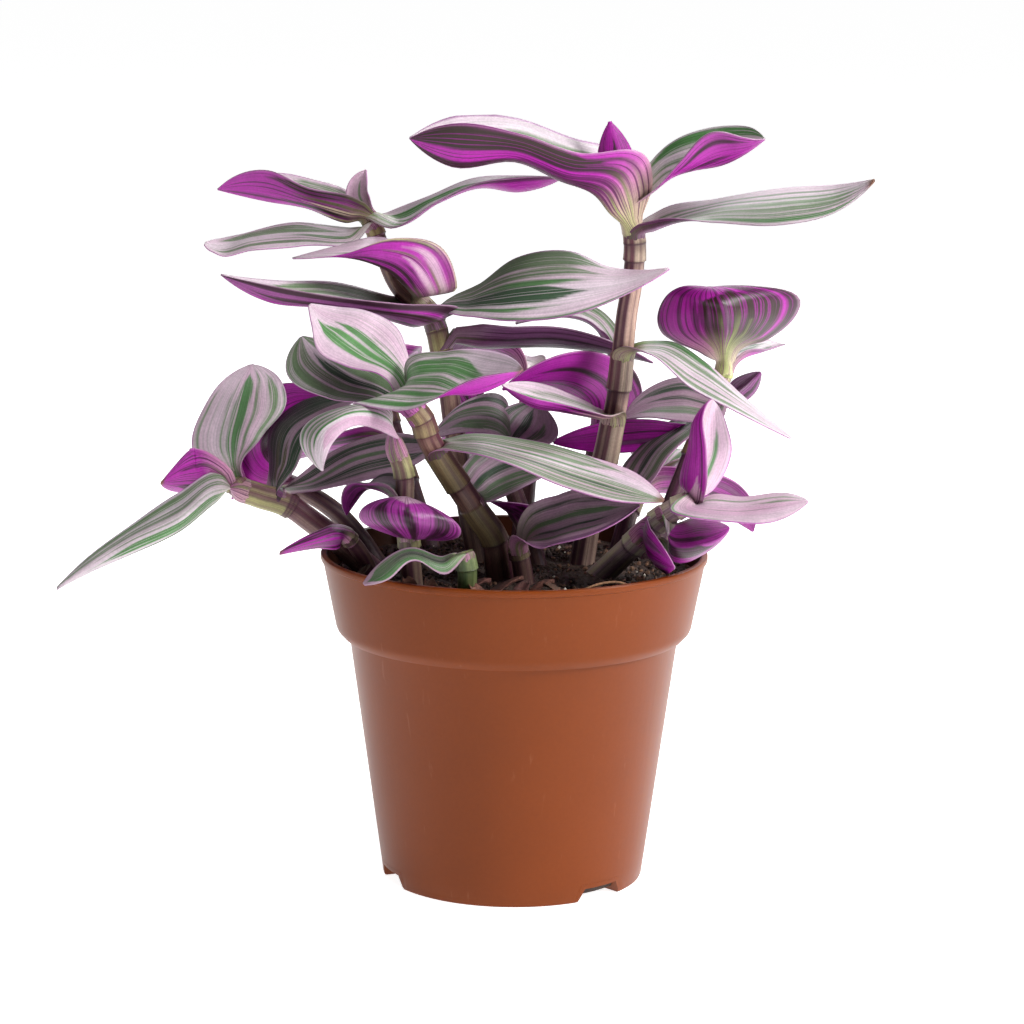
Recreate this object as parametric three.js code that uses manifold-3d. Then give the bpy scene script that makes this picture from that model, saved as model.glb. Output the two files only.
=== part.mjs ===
// Potted tradescantia: a round plastic grower's pot, its soil and the leafy stems.
// Millimetres, +Z up. The origin is the centre of the pot's flat base, and the
// side of the pot that faces the viewer is toward -Y.
import * as THREE from "three";
import { mergeVertices } from "three/addons/utils/BufferGeometryUtils.js";
import Module from "manifold-3d";

const wasm = await Module();
wasm.setup();

// Pot
const POT_HEIGHT = 102.7;
const RIM_RADIUS = 60.0;
const BASE_RADIUS = 40.7;
const BODY_TOP_RADIUS = 51.1;
const BODY_TOP_Z = 76.4;
const COLLAR_RADIUS = 55.5;
const COLLAR_Z = 81.0;
const WALL = 1.3;
const FLOOR = 1.5;
const NOTCH_ANGLES = [42, -68, 167];
const NOTCH_HEIGHT = 4.3;
const NOTCH_TOP_WIDTH = 13.0;
const NOTCH_FOOT_WIDTH = 17.5;
const NOTCH_DEPTH = 12.0;
const NOTCH_ROOF = 1.4;
const DRAIN_RADIUS = 4.0;
const DRAIN_AT = 34.5;
const ROUND = 32;

// Soil
const GAP = 0.3;
const SOIL_EDGE_Z = 96.0;
const SOIL_DOME = 2.4;
const SOIL_BUMP = 0.7;

// Leaves and stems
const LEAF_THICKNESS = 0.7;
const LEAF_ROOT = 3.0;
const ROOT_LENGTH = 13.0;
const HOLE_GAP = 0.4;
const SHEATH_WALL = 0.5;
const WRAP = 0.6 * Math.PI;
const WIDEST_AT = 0.42;
const KEEL = 0.07;
const WELD = 0.005;
const STEM_SIDES = 6;
const BLADE_STEPS = [0, 0.1, 0.25, 0.45, 0.7, 1];
const ACROSS = [-1, -0.5, 0, 0.5, 1];
const SMALL_LEAF = 14.5;
const SMALL_STEPS = [0, 0.1, 0.28, 0.5, 0.76, 1];
const SMALL_ACROSS = [-1, 0, 1];
const NARROW_LEAF = 23;
const TIP_HALF = 0.6;
const OPENED_AT = 0.6;
const KEEL_SHARE = 0.35;

// Each stem has its radius at soil and tip, and the points of its centre line
// from the soil up. Each leaf has a name and the place on the stem where its sheath
// starts, counted in points. Then come the points that its midrib passes, up to
// the tip, and the blade's half width. After that come the blade's roll, its
// further twist toward the tip (degrees), how far it folds at its middle and at
// its tip (radians, minus is down), and the length of its sheath round the stem.
// A leaf that is turned or cupped in its own way has cross-sections in place of the
// midrib's points and of the six numbers after them: each section has one edge, the
// midrib and the other edge, and the last point is the tip.
const STEMS = [
  {
    name: "stem_tall_right", colour: "#8d4c86", r: [4, 2.9],
    path: [[21, 6, 97], [24, 7, 115], [28, 8, 130], [30, 7, 141], [32, 6, 153], [33, 4, 165],
      [34, 3, 176], [36, 1, 191], [36, 0, 200], [35, 0, 205]],
    leaves: [
      ["a1", 7.9, [[[41, -8, 219], [28, -8, 209], [38, 12, 223]],
        [[37, -18, 228], [23, -12, 215], [29, 10, 227]],
        [[19, -22, 228], [13, -14, 219], [18, 4, 230]],
        [[1, -27, 234], [0, -19, 225], [-1, -4, 237]],
        [[-18, -27, 237], [-20, -22, 224], [-19, -12, 238]], [-32, -20, 232]], 5],
      ["a2", 9, [[31, -3, 221], [28, -3, 236]], 7, 0, 0, 0.8, 0.5, 4],
      ["a3", 8.6, [[[42, 8, 224], [45, -4, 219], [42, -13, 217]],
        [[51, 4, 231], [53, -10, 222], [49, -18, 226]],
        [[62, -2, 235], [62, -12, 224], [58, -21, 234]],
        [[70, -8, 235], [69, -15, 228], [67, -21, 233]], [74, -16, 232]], 5],
      ["a4", 7.3, [[[44, 8, 208], [42, -3, 203], [42, -10, 207]],
        [[61, 4, 212], [58, -8, 209], [59, -16, 207]],
        [[81, -2, 216], [80, -14, 212], [79, -22, 207]],
        [[98, -9, 218], [98, -16, 215], [96, -20, 211]], [107, -17, 220]], 8],
      ["a6", 4, [[[46, 5, 168], [42, -4, 166], [41, -10, 166]],
        [[58, -5, 163], [55, -12, 160], [53, -18, 157]],
        [[69, -13, 154], [67, -18, 153], [64, -24, 152]], [83, -25, 143]], 11],
      ["a7", 2, [[[27, -15, 148], [25, -9, 146], [24, 3, 148]],
        [[15, -20, 152], [14, -15, 149], [15, -1, 153]],
        [[4, -24, 155], [4, -21, 152], [6, -9, 157]], [-4, -21, 158]], 13]
    ]
  },
  {
    name: "stem_tall_left", colour: "#86508a", r: [3.7, 2.4],
    path: [[-11, 8, 97], [-15, 10, 117], [-19, 12, 139], [-23, 14, 163], [-27, 16, 175],
      [-36, 18, 182], [-41, 19, 192], [-44, 20, 200], [-46, 21, 204]],
    leaves: [
      ["b1", 7.45, [[[-50, 12, 211], [-53, 15, 203], [-51, 29, 210]],
        [[-64, 11, 214], [-65, 18, 207], [-64, 28, 215]],
        [[-77, 14, 219], [-78, 20, 209], [-75, 27, 217]], [-93, 24, 212]], 1.2],
      ["b2", 7.85, [[-49, 26, 211], [-47, 28, 218]], 4.4, 0, 0, 1, 0.5, 3],
      ["b3", 7.6, [[[-40, 26, 205], [-36, 16, 203], [-38, 8, 202]],
        [[-27, 18, 211], [-24, 8, 210], [-24, 2, 211]],
        [[-13, 14, 217], [-11, 4, 215], [-12, -3, 217]],
        [[1, 12, 218], [1, 3, 214], [0, -5, 219]], [14, 6, 218]], 1],
      ["b4", 6.8, [[[-51, 4, 197], [-52, 8, 199], [-52, 18, 201]],
        [[-66, -2, 198], [-67, 6, 200], [-66, 15, 202]],
        [[-80, -6, 197], [-81, 2, 199], [-79, 9, 201]],
        [[-90, -6, 194], [-90, 0, 197], [-88, 5, 200]], [-95, -2, 198]], 3],
      ["b5", 3.9, [[[-18, -2, 186], [-32, -5, 184], [-32, 22, 184]],
        [[-23, -6, 198], [-39, -9, 191], [-36, 20, 194]],
        [[-36, -10, 201], [-46, -10, 194], [-42, 10, 199]],
        [[-52, -10, 196], [-54, -8, 195], [-55, 2, 197]], [-68, -5, 194]], 4],
      ["b6", 3, [[[-17, 2, 178], [-32, -2, 173], [-29, 30, 176]],
        [[-35, -10, 181], [-44, -7, 177], [-39, 16, 180]],
        [[-56, -16, 184], [-60, -12, 180], [-57, 3, 186]],
        [[-73, -17, 187], [-75, -14, 182], [-71, -4, 187]], [-89, -14, 190]], 7],
      ["b7", 3.5, [[[-10, 14, 185], [-13, 2, 181], [-15, -8, 177]],
        [[0, 8, 193], [-3, -6, 185], [-2, -18, 177]],
        [[16, 2, 196], [16, -12, 188], [15, -22, 179]],
        [[29, -6, 192], [32, -14, 189], [34, -20, 186]], [46, -16, 193]], 4],
      ["b8", 2.8, [[-11, 16, 164], [14, 18, 164], [43, 20, 159]], 12, -5, 0, 0.7, 0.4, 6]
    ]
  },
  {
    name: "stem_front_left", colour: "#7f5b7a", r: [4.2, 3.3],
    path: [[-5, -20, 103], [-6, -21, 110], [-12, -24, 120], [-17, -26, 128], [-22, -28, 136],
      [-26, -30, 143], [-28, -31, 149], [-31, -32, 153]],
    leaves: [
      ["c1", 6.95, [[[-33, -28, 165], [-33, -42, 160], [-48, -46, 156]],
        [[-20, -34, 170], [-24, -51, 163], [-33, -58, 156]],
        [[-5, -50, 172], [-12, -65, 162], [-8, -74, 169]], [2, -71, 170]], 3],
      ["c2", 3, [[[-19, -22, 142], [-14, -34, 142], [-13, -44, 141]],
        [[4, -26, 142], [1, -38, 140], [-3, -48, 139]],
        [[23, -32, 138], [20, -42, 135], [15, -50, 132]],
        [[37, -40, 134], [35, -46, 131], [31, -51, 128]], [44, -49, 128]], 13.8],
      ["c3", 1, [[[-15, -8, 132], [-10, -13, 127], [-7, -20, 122]],
        [[-5, -2, 138], [1, -9, 132], [2, -19, 126]], [12, -13, 131]], 14],
      ["g1", 5.95, [[[-39, -34, 162], [-35, -28, 163], [-32, -22, 166]],
        [[-51, -31, 165], [-43, -23, 169], [-36, -18, 175]],
        [[-59, -29, 169], [-51, -23, 175], [-45, -19, 180]],
        [[-61, -26, 176], [-58, -22, 178], [-54, -18, 181]], [-62, -21, 182]], 5],
      ["g2", 5.25, [[[-44, -28, 153], [-40, -22, 155], [-38, -17, 158]],
        [[-56, -24, 154], [-52, -17, 158], [-46, -9, 164]],
        [[-69, -20, 161], [-62, -13, 165], [-55, -7, 168]], [-65, -12, 171]], 5]
    ]
  },
  {
    name: "stem_right_back", colour: "#8a4a83", r: [3.6, 2.6],
    path: [[43, 18, 96], [50, 24, 113], [56, 28, 128], [60, 30, 138], [62, 31, 145], [65, 31, 151],
      [66, 31, 155]],
    leaves: [
      ["d1", 6, [[[70, 27, 161], [65, 20, 164], [59, 27, 161]],
        [[80, 32, 166], [65, 13, 171], [45, 26, 168]],
        [[89, 28, 175], [63, 6, 180], [47, 18, 180]], [60, 12, 184]], 3],
      ["d2", 4, [[[65, 21, 141], [65, 26, 145], [65, 32, 148]],
        [[51, 12, 142], [52, 20, 146], [53, 30, 153]],
        [[41, 12, 143], [42, 18, 145], [42, 26, 150]], [34, 15, 142]], 4],
      ["d3", 2.6, [[[73, 37, 144], [70, 34, 147], [67, 38, 148]],
        [[78, 42, 149], [74, 37, 150], [71, 43, 151]], [78, 42, 153]], 6],
      ["d4", 5.6, [[78, 46, 160], [86, 56, 160]], 9, 0, 0, 0.6, 0.3, 4],
      ["d5", 2, [[[47, 17, 141], [48, 19, 137], [49, 24, 132]],
        [[30, 17, 141], [30, 18, 136], [31, 22, 130]], [12, 18, 134]], 6],
      ["f1", 2.8, [[[55, 14, 137], [54, 20, 139], [52, 26, 141]],
        [[48, 6, 132], [44, 12, 133], [40, 20, 133]],
        [[42, -2, 125], [38, 4, 125], [33, 12, 126]], [33, -2, 118]], 5]
    ]
  },
  {
    name: "stem_right_low", colour: "#a85fa0", r: [4, 3.2],
    path: [[29, -12, 100], [36, -17, 108], [43, -21, 116], [49, -24, 121], [53, -25, 123]],
    leaves: [
      ["e1", 4, [[[57, -35, 128], [50, -28, 129], [61, -12, 125]],
        [[57, -38, 141], [52, -28, 140], [66, -12, 136]],
        [[56, -35, 151], [54, -28, 149], [64, -16, 146]], [59, -27, 155]], 3],
      ["e2", 3, [[[58, -26, 125], [55, -38, 124], [47, -47, 124]],
        [[69, -31, 126], [68, -42, 124], [64, -50, 122]],
        [[81, -35, 128], [79, -44, 126], [76, -50, 122]], [87, -44, 127]], 5],
      ["e3", 2, [[[48, -30, 106], [48, -37, 112], [46, -25, 117]],
        [[57, -25, 107], [57, -34, 112], [56, -22, 118]], [65, -24, 115]], 4],
      ["e4", 1, [[41, -34, 108], [48, -40, 106]], 10, -40, 0, 0.6, 0.3, 4]
    ]
  },
  {
    name: "stem_left_trailing", colour: "#9a5a8c", r: [4, 3.2],
    path: [[-49, -2, 101], [-55, -5, 107], [-62, -8, 113], [-70, -10, 119], [-79, -11, 122],
      [-85, -12, 125], [-86, -12, 127]],
    leaves: [
      ["h1", 3, [[[-91, -20, 121], [-90, -22, 126], [-89, -13, 129]],
        [[-101, -30, 114], [-101, -30, 119], [-102, -20, 124]],
        [[-115, -36, 108], [-116, -34, 112], [-116, -26, 115]],
        [[-129, -38, 102], [-129, -38, 104], [-129, -34, 106]], [-137, -38, 98]], 15],
      ["h2", 6, [[[-99, -6, 135], [-87, -3, 136], [-78, 3, 138]],
        [[-96, 2, 147], [-85, 4, 146], [-71, 9, 148]],
        [[-90, 7, 155], [-83, 9, 154], [-74, 13, 155]], [-82, 11, 159]], 4],
      ["h3", 5, [[-97, -12, 125], [-108, -14, 126]], 13, 40, 0, 0.8, 0.6, 4],
      ["h4", 2.9, [[[-76, 3, 129], [-72, -6, 131], [-67, -8, 130]],
        [[-76, 9, 139], [-70, -2, 140], [-63, -4, 138]],
        [[-67, 12, 147], [-61, 3, 146], [-56, -2, 144]], [-50, 4, 149]], 4],
      ["h6", 2.8, [[[-64, 2, 128], [-63, -2, 124], [-60, -8, 123]],
        [[-51, 8, 135], [-49, 2, 131], [-45, -6, 126]],
        [[-36, 9, 138], [-34, 4, 134], [-33, -3, 129]], [-24, 3, 135]], 4]
    ]
  },
  {
    name: "stem_left_inner", colour: "#6f4a72", r: [3.3, 2.7],
    path: [[-43, 12, 96], [-49, 11, 105], [-55, 10, 112], [-63, 9, 118], [-69, 9, 121]],
    leaves: [
      ["h5", 4, [[-79, 14, 132], [-71, 18, 143], [-59, 22, 146]], 13, -50, 0, 0.6, 0.3, 3]
    ]
  },
  {
    name: "stem_centre_left", colour: "#5f4766", r: [3.3, 2.7],
    path: [[-31, -32, 103], [-32, -34, 116], [-33, -34, 125], [-33, -34, 132], [-35, -35, 139]],
    leaves: [
      ["i1", 3, [[[-36, -46, 146], [-38, -48, 152], [-37, -38, 153]],
        [[-48, -59, 151], [-51, -59, 154], [-50, -50, 156]],
        [[-53, -65, 147], [-58, -63, 148], [-62, -54, 148]], [-56, -63, 139]], 13],
      ["i2", 0.6, [[[-26, -39, 114], [-30, -43, 115], [-36, -39, 115]],
        [[-16, -46, 117], [-31, -54, 125], [-46, -46, 123]], [-32, -46, 128]], 3],
      ["i5", 1.4, [[-43, -26, 127], [-51, -22, 118]], 9, 0, 0, 0.6, 0.2, 4]
    ]
  },
  {
    name: "stem_front_sprout", colour: "#7d9a4e", r: [3, 2.8],
    path: [[-14, -47, 101], [-14, -48, 107], [-15, -48, 112]],
    leaves: [
      ["i3", 1, [[[-20, -56, 107], [-21, -57, 110], [-22, -50, 111]],
        [[-30, -62, 112], [-31, -60, 113], [-30, -52, 114]],
        [[-37, -65, 107], [-39, -64, 108], [-40, -58, 110]], [-44, -62, 105]], 4]
    ]
  },
  {
    name: "stem_middle", colour: "#85518a", r: [3.3, 2.7],
    path: [[7, 2, 98], [4, 3, 109], [0, 4, 120], [-3, 5, 129]],
    leaves: [
      ["m1", 2.2, [[[-5, -3, 139], [-4, 4, 144], [-4, 14, 149]],
        [[-13, -6, 141], [-15, -1, 146], [-13, 5, 150]], [-26, -9, 139]], 6],
      ["m2", 2.9, [[[-8, -2, 136], [-1, 4, 135], [5, 4, 134]],
        [[-6, 5, 144], [3, 11, 141], [13, 8, 137]], [7, 15, 147]], 5],
      ["m5", 0.8, [[-2, -7, 117], [-7, -10, 120]], 9.5, -25, 0, 0.5, 0.2, 4]
    ]
  },
  {
    name: "stem_middle_low", colour: "#94588c", r: [3.2, 2.8],
    path: [[3, -26, 99], [2, -27, 105], [1, -28, 109]],
    leaves: [
      ["m4", 1.4, [[14, -36, 117], [25, -42, 121], [37, -46, 126]], 12, 15, 0, 0.5, 0.3, 4]
    ]
  },
  {
    name: "stem_left_lip", colour: "#97508f", r: [2.8, 2.3],
    path: [[-44, -12, 98], [-48, -18, 107], [-51, -20, 111]],
    leaves: [
      ["k1", 1.6, [[[-54, -22, 115], [-53, -26, 112], [-53, -21, 108]],
        [[-59, -26, 114], [-60, -28, 111], [-60, -24, 108]], [-71, -27, 107]], 3]
    ]
  },
  {
    name: "stem_right_inner", colour: "#6d4374", r: [3.3, 2.7],
    path: [[20, 38, 95], [24, 36, 119], [28, 34, 140], [32, 32, 155]],
    leaves: [
      ["a8", 1.6, [[19, 14, 153], [-4, 2, 153]], 13, 50, 0, 0.5, 0.2, 6],
      ["q2", 3, [[27, 37, 166], [0, 35, 169]], 8, 10, 0, 0.6, 0.2, 6]
    ]
  },
  {
    name: "stem_back_left", colour: "#7c4b80", r: [3.4, 2.6],
    path: [[-27, 38, 96], [-34, 46, 116], [-40, 52, 134], [-44, 55, 148]],
    leaves: [
      ["r1", 3, [[-42, 66, 150], [-44, 86, 136]], 13, 0, 0, 0.5, 0.2, 5],
      ["r2", 2, [[-28, 70, 146], [-14, 86, 128]], 13, 0, 0, 0.5, 0.2, 6],
      ["r3", 1, [[-62, 52, 124], [-92, 56, 108]], 13, 0, 0, 0.5, 0.2, 7]
    ]
  },
  {
    name: "stem_back", colour: "#8a5a8a", r: [3.4, 2.6],
    path: [[2, 46, 96], [4, 52, 116], [4, 60, 134], [5, 66, 146]],
    leaves: [
      ["s1", 3, [[-8, 82, 152], [-20, 98, 138]], 13, 0, 0, 0.5, 0.2, 5],
      ["s2", 2, [[20, 72, 146], [40, 88, 130]], 13, 0, 0, 0.5, 0.2, 6],
      ["s3", 1, [[-10, 72, 122], [-22, 96, 104]], 13, 0, 0, 0.5, 0.2, 7]
    ]
  },
  {
    name: "stem_back_right", colour: "#80508a", r: [3.4, 2.6],
    path: [[33, 30, 96], [37, 38, 108], [42, 46, 117]],
    leaves: [
      ["t1", 2, [[52, 62, 124], [54, 84, 108]], 13, 0, 0, 0.5, 0.2, 5],
      ["t2", 1, [[60, 48, 112], [78, 58, 98]], 11, 0, 0, 0.5, 0.2, 6]
    ]
  }
];

// Small helpers on numbers and points.
const clamp01 = (x) => Math.min(1, Math.max(0, x));
const ease = (a, b, x) => {
  const t = clamp01((x - a) / (b - a));
  return t * t * (3 - 2 * t);
};
const vec = (p) => new THREE.Vector3(p[0], p[1], p[2]);
const mixed = (a, b, t) => a.clone().lerp(b, t);

// A smooth curve through points, straight at its start along a given direction
// where there is one. The parameter counts the points.
class Spline {
  constructor(points, startDirection) {
    this.points = points;
    this.lengths = [];
    const ways = [];
    for (let i = 0; i + 1 < points.length; i++) {
      const way = points[i + 1].clone().sub(points[i]);
      this.lengths.push(way.length());
      ways.push(way.normalize());
    }
    this.count = this.lengths.length;
    this.tangents = points.map((p, i) => {
      if (i === 0) return ways[0].clone();
      if (i === this.count) return ways[i - 1].clone();
      const before = this.lengths[i - 1];
      const after = this.lengths[i];
      return ways[i - 1].clone().multiplyScalar(after)
        .add(ways[i].clone().multiplyScalar(before)).normalize();
    });
    if (this.count > 1) {
      const last = this.count;
      this.tangents[0].multiplyScalar(2).sub(this.tangents[1]).normalize();
      this.tangents[last].multiplyScalar(2).sub(this.tangents[last - 1]).normalize();
    }
    if (startDirection) this.tangents[0] = startDirection.clone().normalize();
  }

  at(q) {
    if (q < 0) return this.points[0].clone().addScaledVector(this.tangents[0], q * this.lengths[0]);
    const place = Math.min(this.count, q);
    const i = Math.min(Math.floor(place), this.count - 1);
    const t = place - i;
    const t2 = t * t;
    const t3 = t2 * t;
    const length = this.lengths[i];
    return this.points[i].clone().multiplyScalar(2 * t3 - 3 * t2 + 1)
      .addScaledVector(this.tangents[i], (t3 - 2 * t2 + t) * length)
      .addScaledVector(this.points[i + 1], -2 * t3 + 3 * t2)
      .addScaledVector(this.tangents[i + 1], (t3 - t2) * length);
  }

  direction(q) {
    const step = 0.001;
    const from = this.at(Math.min(this.count - step, q - step));
    return this.at(Math.min(this.count, q + step)).sub(from).normalize();
  }
}

// Carries a side direction along a curve with no twist of its own.
function carried(directions, side) {
  const out = [];
  let now = side.clone().addScaledVector(directions[0], -side.dot(directions[0])).normalize();
  out.push(now.clone());
  for (let i = 1; i < directions.length; i++) {
    const turn = new THREE.Quaternion().setFromUnitVectors(directions[i - 1], directions[i]);
    now = now.clone().applyQuaternion(turn);
    now.addScaledVector(directions[i], -now.dot(directions[i])).normalize();
    out.push(now.clone());
  }
  return out;
}

function solidFrom(points, triangles) {
  const mesh = new wasm.Mesh({
    numProp: 3,
    vertProperties: Float32Array.from(points.flatMap((p) => [p.x, p.y, p.z])),
    triVerts: Uint32Array.from(triangles.flat())
  });
  return new wasm.Manifold(mesh);
}

// A three.js geometry with its shared points welded, as a solid.
function solidOf(geometry) {
  const plain = new THREE.BufferGeometry();
  plain.setAttribute("position", geometry.getAttribute("position").clone());
  if (geometry.index) plain.setIndex(geometry.index.clone());
  const merged = mergeVertices(plain, 0.0001);
  const position = merged.getAttribute("position");
  const points = [];
  for (let i = 0; i < position.count; i++) {
    points.push(new THREE.Vector3().fromBufferAttribute(position, i));
  }
  const triangles = [];
  const index = merged.index.array;
  for (let i = 0; i < index.length; i += 3) {
    const [a, b, c] = [index[i], index[i + 1], index[i + 2]];
    if (a !== b && b !== c && c !== a) triangles.push([a, b, c]);
  }
  return solidFrom(points, triangles);
}

// Corners that lie closer together than the weld distance become one corner, and
// triangles that shrink to nothing, or lie face to face, go.
function welded(at, corners) {
  const cells = new Map();
  const target = [];
  const cellOf = (x, y, z) => `${x},${y},${z}`;
  for (let i = 0; i < at.length / 3; i++) {
    const point = new THREE.Vector3(at[3 * i], at[3 * i + 1], at[3 * i + 2]);
    const [x, y, z] = point.toArray().map((v) => Math.floor(v / WELD));
    let found = i;
    for (let k = 0; k < 27 && found === i; k++) {
      const key = cellOf(x + k % 3 - 1, y + Math.floor(k / 3) % 3 - 1, z + Math.floor(k / 9) - 1);
      for (const [other, place] of cells.get(key) ?? []) {
        if (place.distanceTo(point) < WELD) found = other;
      }
    }
    target.push(found);
    if (found === i) {
      const key = cellOf(x, y, z);
      if (!cells.has(key)) cells.set(key, []);
      cells.get(key).push([i, point]);
    }
  }
  const kept = new Map();
  for (let i = 0; i < corners.length; i += 3) {
    const triangle = [0, 1, 2].map((k) => target[corners[i + k]]);
    if (new Set(triangle).size < 3) continue;
    const key = triangle.toSorted((a, b) => a - b).join();
    if (kept.has(key)) kept.delete(key);
    else kept.set(key, triangle);
  }
  return [...kept.values()].flat();
}

// The outer skin of a solid: pockets sealed between leaf bases are filled, because
// the plant's tissue is solid there.
function outerSkin(at, corners) {
  const parent = Array.from({ length: at.length / 3 }, (_, i) => i);
  const rootOf = (i) => {
    while (parent[i] !== i) {
      parent[i] = parent[parent[i]];
      i = parent[i];
    }
    return i;
  };
  for (let i = 0; i < corners.length; i += 3) {
    parent[rootOf(corners[i])] = rootOf(corners[i + 1]);
    parent[rootOf(corners[i + 1])] = rootOf(corners[i + 2]);
  }
  const volumes = new Map();
  const corner = (i) => new THREE.Vector3(at[3 * i], at[3 * i + 1], at[3 * i + 2]);
  for (let i = 0; i < corners.length; i += 3) {
    const [a, b, c] = [corner(corners[i]), corner(corners[i + 1]), corner(corners[i + 2])];
    const shell = rootOf(corners[i]);
    volumes.set(shell, (volumes.get(shell) ?? 0) + a.dot(b.cross(c)) / 6);
  }
  const [outer] = [...volumes].sort((a, b) => b[1] - a[1])[0];
  const kept = [];
  for (let i = 0; i < corners.length; i += 3) {
    if (rootOf(corners[i]) === outer) kept.push(corners[i], corners[i + 1], corners[i + 2]);
  }
  return kept;
}

function geometryOf(solid) {
  const mesh = solid.getMesh();
  const at = mesh.vertProperties;
  const corners = welded(at, outerSkin(at, mesh.triVerts));
  const geometry = new THREE.BufferGeometry();
  geometry.setAttribute("position", new THREE.BufferAttribute(new Float32Array(at), 3));
  geometry.setIndex(new THREE.BufferAttribute(new Uint32Array(corners), 1));
  geometry.computeVertexNormals();
  return geometry;
}

function lathed(profile, segments) {
  const geometry = new THREE.LatheGeometry(profile.map((p) => new THREE.Vector2(p[0], p[1])), segments);
  geometry.rotateX(Math.PI / 2);
  return solidOf(geometry);
}

// Stem: the first point stands in the soil, below the first point of its path.
function stemCurve(stem) {
  const points = stem.path.map(vec);
  const way = points[1].clone().sub(points[0]).normalize();
  return new Spline([points[0].clone().addScaledVector(way, -ROOT_LENGTH), ...points]);
}

function stemRadius(stem, q) {
  return stem.r[0] + (stem.r[1] - stem.r[0]) * clamp01(q / stem.path.length);
}

// Where along the stem a leaf's sheath starts and ends, counted in points.
function sheathSpan(stem, leaf) {
  const curve = stemCurve(stem);
  const last = stem.path.length;
  const start = leaf[1] + 1;
  const step = 0.02;
  const ahead = Math.min(start + step, last);
  const perPoint = curve.at(ahead).distanceTo(curve.at(ahead - step)) / step;
  return [start, Math.min(last, start + leaf.at(-1) / perPoint)];
}

// Rings of the stem: plain at its points, wider where a sheath is wrapped round it.
function stemRings(stem) {
  const last = stem.path.length;
  const spans = stem.leaves.map((leaf) => sheathSpan(stem, leaf));
  const rings = [];
  for (const [start, end] of spans) {
    rings.push([start - 0.12, 0], [start, SHEATH_WALL], [end, SHEATH_WALL - 0.1]);
  }
  for (let q = 0; q <= last; q++) {
    const near = spans.some(([start, end]) => start - 0.3 < q && q < end + 0.3);
    const within = spans.some(([start, end]) => start < q && q <= end + 1e-6);
    if (!near || q === 0 || q === last) rings.push([q, within ? SHEATH_WALL - 0.1 : 0]);
  }
  rings.sort((a, b) => a[0] - b[0] || a[1] - b[1]);
  const kept = [];
  for (const [q, extra] of rings) {
    const before = kept[kept.length - 1];
    if (before && q - before[0] < 0.04) before[1] = Math.max(extra, before[1]);
    else kept.push([q, extra]);
  }
  return kept;
}

function tubeSolid(stem, rings, sides) {
  const curve = stemCurve(stem);
  const directions = rings.map(([q]) => curve.direction(q));
  const uppers = carried(directions, new THREE.Vector3(1, 0.13, 0.07));
  const points = [];
  rings.forEach(([q, extra], i) => {
    const centre = curve.at(q);
    const across = directions[i].clone().cross(uppers[i]);
    const radius = stemRadius(stem, q) + extra;
    for (let k = 0; k < sides; k++) {
      const angle = 2 * Math.PI * k / sides;
      points.push(centre.clone().addScaledVector(uppers[i], radius * Math.cos(angle))
        .addScaledVector(across, radius * Math.sin(angle)));
    }
  });
  const foot = points.length;
  points.push(curve.at(rings[0][0]), curve.at(rings[rings.length - 1][0]));
  const triangles = [];
  for (let i = 0; i + 1 < rings.length; i++) {
    for (let k = 0; k < sides; k++) {
      const n = (k + 1) % sides;
      const [a, b] = [i * sides + k, i * sides + n];
      const [c, d] = [(i + 1) * sides + n, (i + 1) * sides + k];
      triangles.push([a, b, c], [a, c, d]);
    }
  }
  const top = (rings.length - 1) * sides;
  for (let k = 0; k < sides; k++) {
    const n = (k + 1) % sides;
    triangles.push([foot, n, k], [foot + 1, top + k, top + n]);
  }
  return solidFrom(points, triangles);
}

// Leaf: it starts as an arc round the stem at the top of its sheath, and opens into
// a blade. Each cross-section is an arc, which narrows to the tip.
function bladeWidth(u, halfWidth, ringRadius) {
  const past = Math.max(0, u - WIDEST_AT) / (1 - WIDEST_AT);
  const before = Math.max(0, WIDEST_AT - u) / WIDEST_AT;
  const outline = u > WIDEST_AT ? Math.pow(Math.max(0, 1 - past * past), 0.85)
    : 1 - 0.22 * before * before;
  const open = ease(0, 0.15, u);
  return Math.max(0.5, WRAP * ringRadius * (1 - open) + halfWidth * outline * open);
}

function bladeFold(u, fold, tipFold) {
  const open = ease(0.02, 0.34, u);
  const folded = WRAP * (1 - open) + fold * open + (tipFold - fold) * ease(0.45, 1, u);
  return Math.abs(folded) < 0.001 ? 0.001 : folded;
}

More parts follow.
